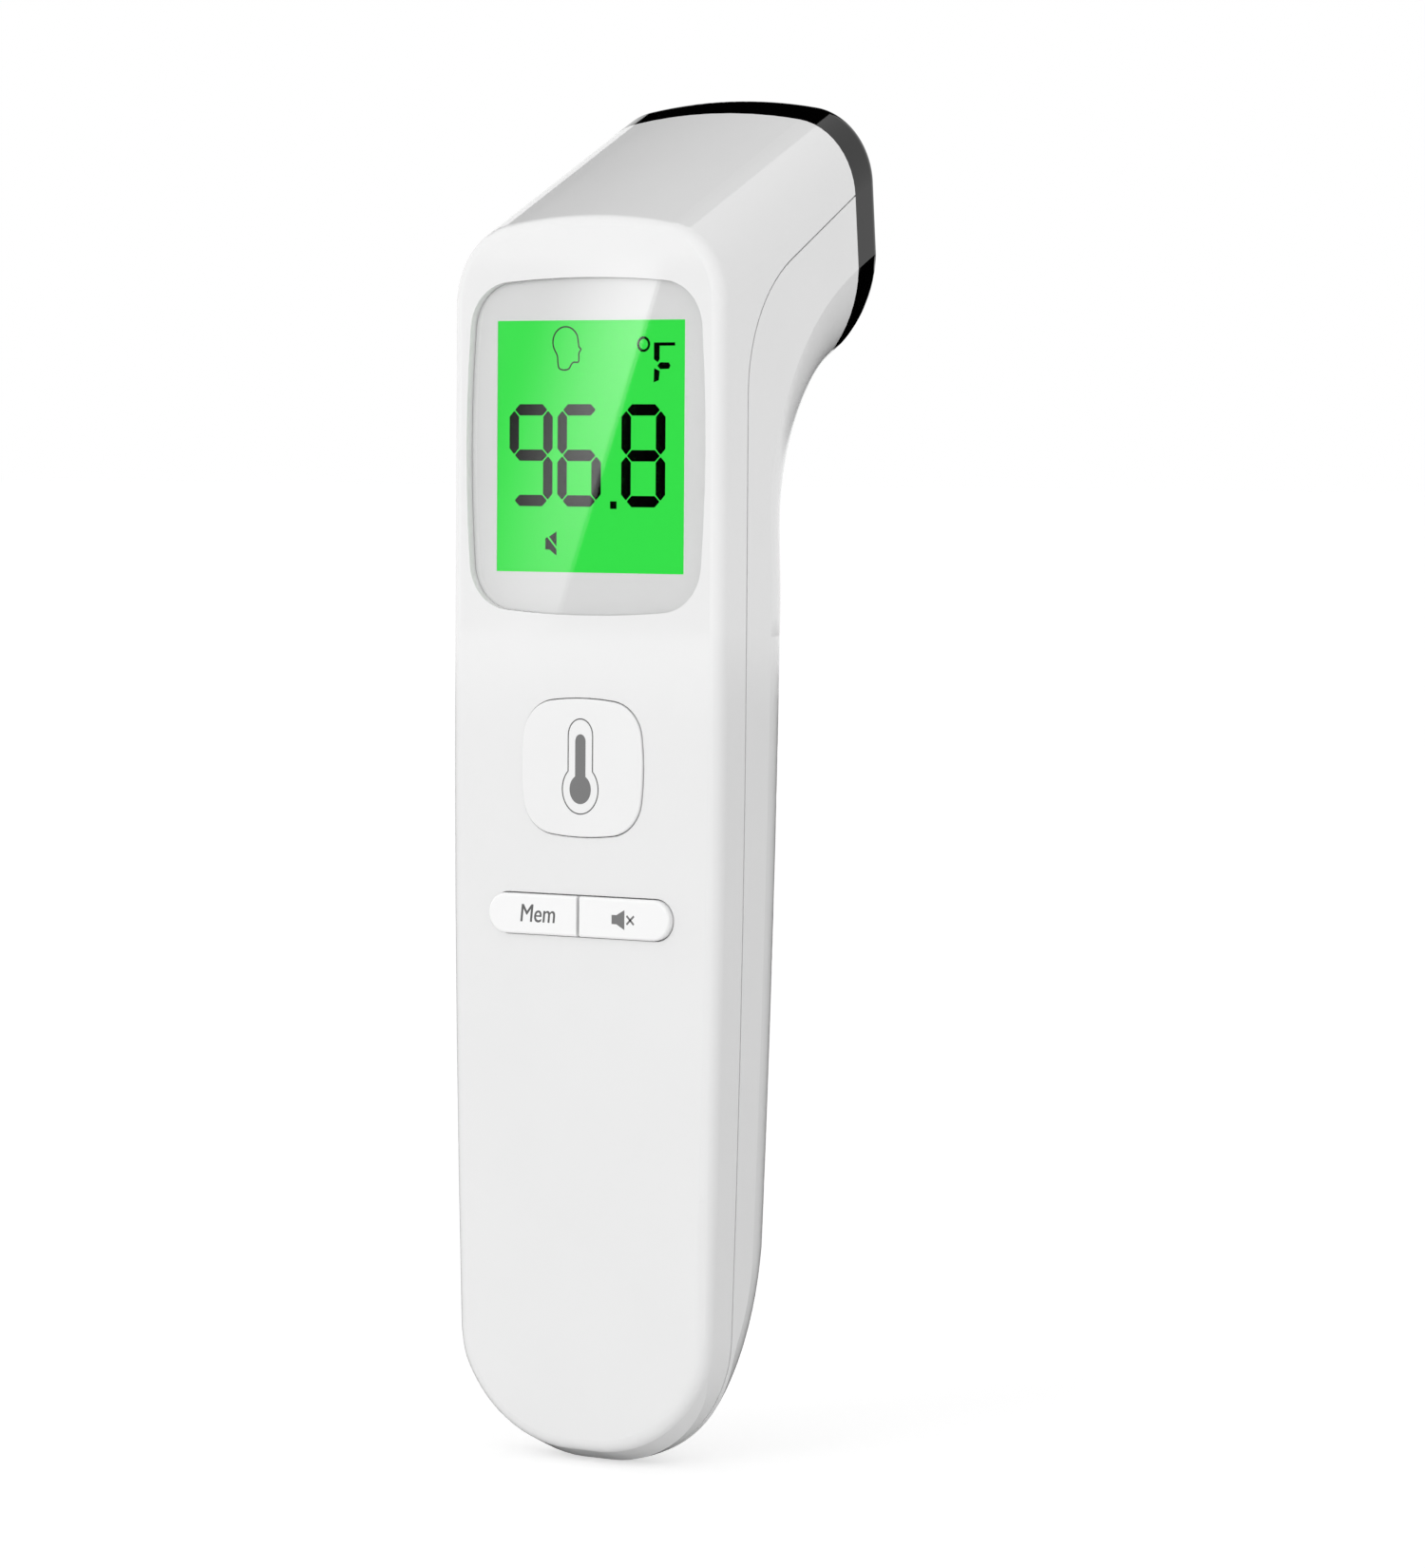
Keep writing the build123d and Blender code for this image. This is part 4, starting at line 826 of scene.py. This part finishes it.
    def world(self) -> None:
        """An even surround that lights more from the sides than from above, white to the camera and gloss.

        The strength runs straight with the height of the direction, from the horizon's to the ceiling's.
        """
        world = bpy.data.worlds.new("studio_world")
        world.use_nodes = True
        tree = world.node_tree
        tree.nodes.clear()
        path = tree.nodes.new("ShaderNodeLightPath")
        place = tree.nodes.new("ShaderNodeTexCoord")
        split = tree.nodes.new("ShaderNodeSeparateXYZ")
        rise = tree.nodes.new("ShaderNodeMapRange")
        rise.inputs["To Min"].default_value = self.horizon
        rise.inputs["To Max"].default_value = self.ceiling
        soft = tree.nodes.new("ShaderNodeBackground")
        white = tree.nodes.new("ShaderNodeBackground")
        white.inputs["Strength"].default_value = 1.0
        for shade in (soft, white):
            shade.inputs["Color"].default_value = (1.0, 1.0, 1.0, 1.0)
        seen = tree.nodes.new("ShaderNodeMath")
        seen.operation = "MAXIMUM"
        through = tree.nodes.new("ShaderNodeMath")
        through.operation = "MAXIMUM"
        mixed = tree.nodes.new("ShaderNodeMixShader")
        output = tree.nodes.new("ShaderNodeOutputWorld")
        tree.links.new(place.outputs["Generated"], split.inputs[0])
        tree.links.new(split.outputs["Z"], rise.inputs["Value"])
        tree.links.new(rise.outputs["Result"], soft.inputs["Strength"])
        tree.links.new(path.outputs["Is Camera Ray"], seen.inputs[0])
        tree.links.new(path.outputs["Is Glossy Ray"], seen.inputs[1])
        tree.links.new(seen.outputs[0], through.inputs[0])
        tree.links.new(path.outputs["Is Transmission Ray"], through.inputs[1])
        tree.links.new(through.outputs[0], mixed.inputs[0])
        tree.links.new(soft.outputs[0], mixed.inputs[1])
        tree.links.new(white.outputs[0], mixed.inputs[2])
        tree.links.new(mixed.outputs[0], output.inputs["Surface"])
        bpy.context.scene.world = world

    def window_card(self) -> None:
        """What the display's window mirrors: black, and left of a slanted line a glow that fades leftwards.

        A spot of the card is the window's spot carried on along the mirrored line of sight, so a straight
        line on the window stays straight on the card. The glow falls with the distance left of the line
        along a smooth step, and grows with height.
        """
        away = 250.0
        eye, _ = self.eye()
        mirrored_eye = np.array([eye.x, 2 * self.window_y - eye.y, eye.z])

        def carried(x: np.ndarray, z: np.ndarray, reach: float) -> np.ndarray:
            """Carry spots of the window on to the plane that stands a reach in front of it."""
            spots = np.stack([x, np.full_like(x, self.window_y), z], axis=-1)
            along = spots - mirrored_eye
            return spots + along * (reach / (mirrored_eye[1] - self.window_y))

        low, high, half = self.glare_card
        (low_x, low_z), (high_x, high_z) = self.glare_line
        (far_level, gain), (lean, middle) = self.glare_level, self.glare_lean
        z = np.linspace(low, high, 12)[:, None]
        line = low_x + (z - low_z) * (high_x - low_x) / (high_z - low_z)
        share = np.linspace(0.0, 1.0, 24)[None, :]
        x = -half + share * (line + half)
        z = np.broadcast_to(z, x.shape)
        fade = np.clip((line - x) / self.glare_reach, 0.0, 1.0)
        share_left = 1 - fade**2 * (3 - 2 * fade)
        glow = (far_level + gain * share_left) * (1 + lean * (z - middle)) / self.pane_mirror
        rows, columns = x.shape
        index = np.arange(rows * columns).reshape(rows, columns)
        corners = [index[:-1, :-1], index[:-1, 1:], index[1:, 1:], index[1:, :-1]]
        quads = np.stack(corners, axis=-1).reshape(-1, 4)
        data = bpy.data.meshes.new("studio_glare_card")
        data.from_pydata((carried(x, z, away).reshape(-1, 3) * MM).tolist(), [], quads.tolist())
        level = data.attributes.new("glow", "FLOAT", "POINT")
        level.data.foreach_set("value", glow.ravel())
        graph = NodeGraph("studio_glare")
        strength = graph.add("ShaderNodeAttribute", attribute_name="glow")
        lamp = graph.add("ShaderNodeEmission", Color=(1.0, 1.0, 1.0, 1.0))
        graph.join(strength.outputs["Fac"], lamp.inputs["Strength"])
        data.materials.append(graph.close(lamp))
        card = bpy.data.objects.new("studio_glare_card", data)
        bpy.context.scene.collection.objects.link(card)
        self.gloss_only(card)
        corners_x, corners_z = np.array([-half, half, half, -half]), np.array([low, low, high, high])
        back = carried(corners_x, corners_z, away + 2.0) * MM
        self.gloss_only(self.sheet("studio_window_black", back, self.black()))

    def soft_light(self, name: str, place: tuple[float, float, float], size: float, power: float) -> None:
        """A square soft light that faces the middle of the thing, in metres and watts."""
        data = bpy.data.lights.new(name, "AREA")
        data.size = size
        data.energy = power
        lamp = bpy.data.objects.new(name, data)
        bpy.context.scene.collection.objects.link(lamp)
        lamp.location = place
        lamp.visible_glossy = False
        aim = Vector((0.0, 0.0, 0.09)) - Vector(place)
        lamp.rotation_euler = aim.to_track_quat("-Z", "Y").to_euler()

    def build(self) -> None:
        """Set the whole studio."""
        scene = bpy.context.scene
        scene.view_settings.view_transform = "Standard"
        self.camera()
        self.world()
        self.floor()
        self.dark_card()
        self.window_card()
        self.soft_light("front_light", (-0.3, -1.4, 0.3), 0.7, 5.3)
        LOG.info("studio set, lens %.1f mm", scene.camera.data.lens)


def main() -> None:
    """Dress the frame, add the signs and set the studio."""
    logging.basicConfig(level=logging.INFO, format="%(name)s: %(message)s")
    Housing().build()
    Reading().build()
    KeyLegends().build()
    Studio().build()


if __name__ == "__main__":
    main()
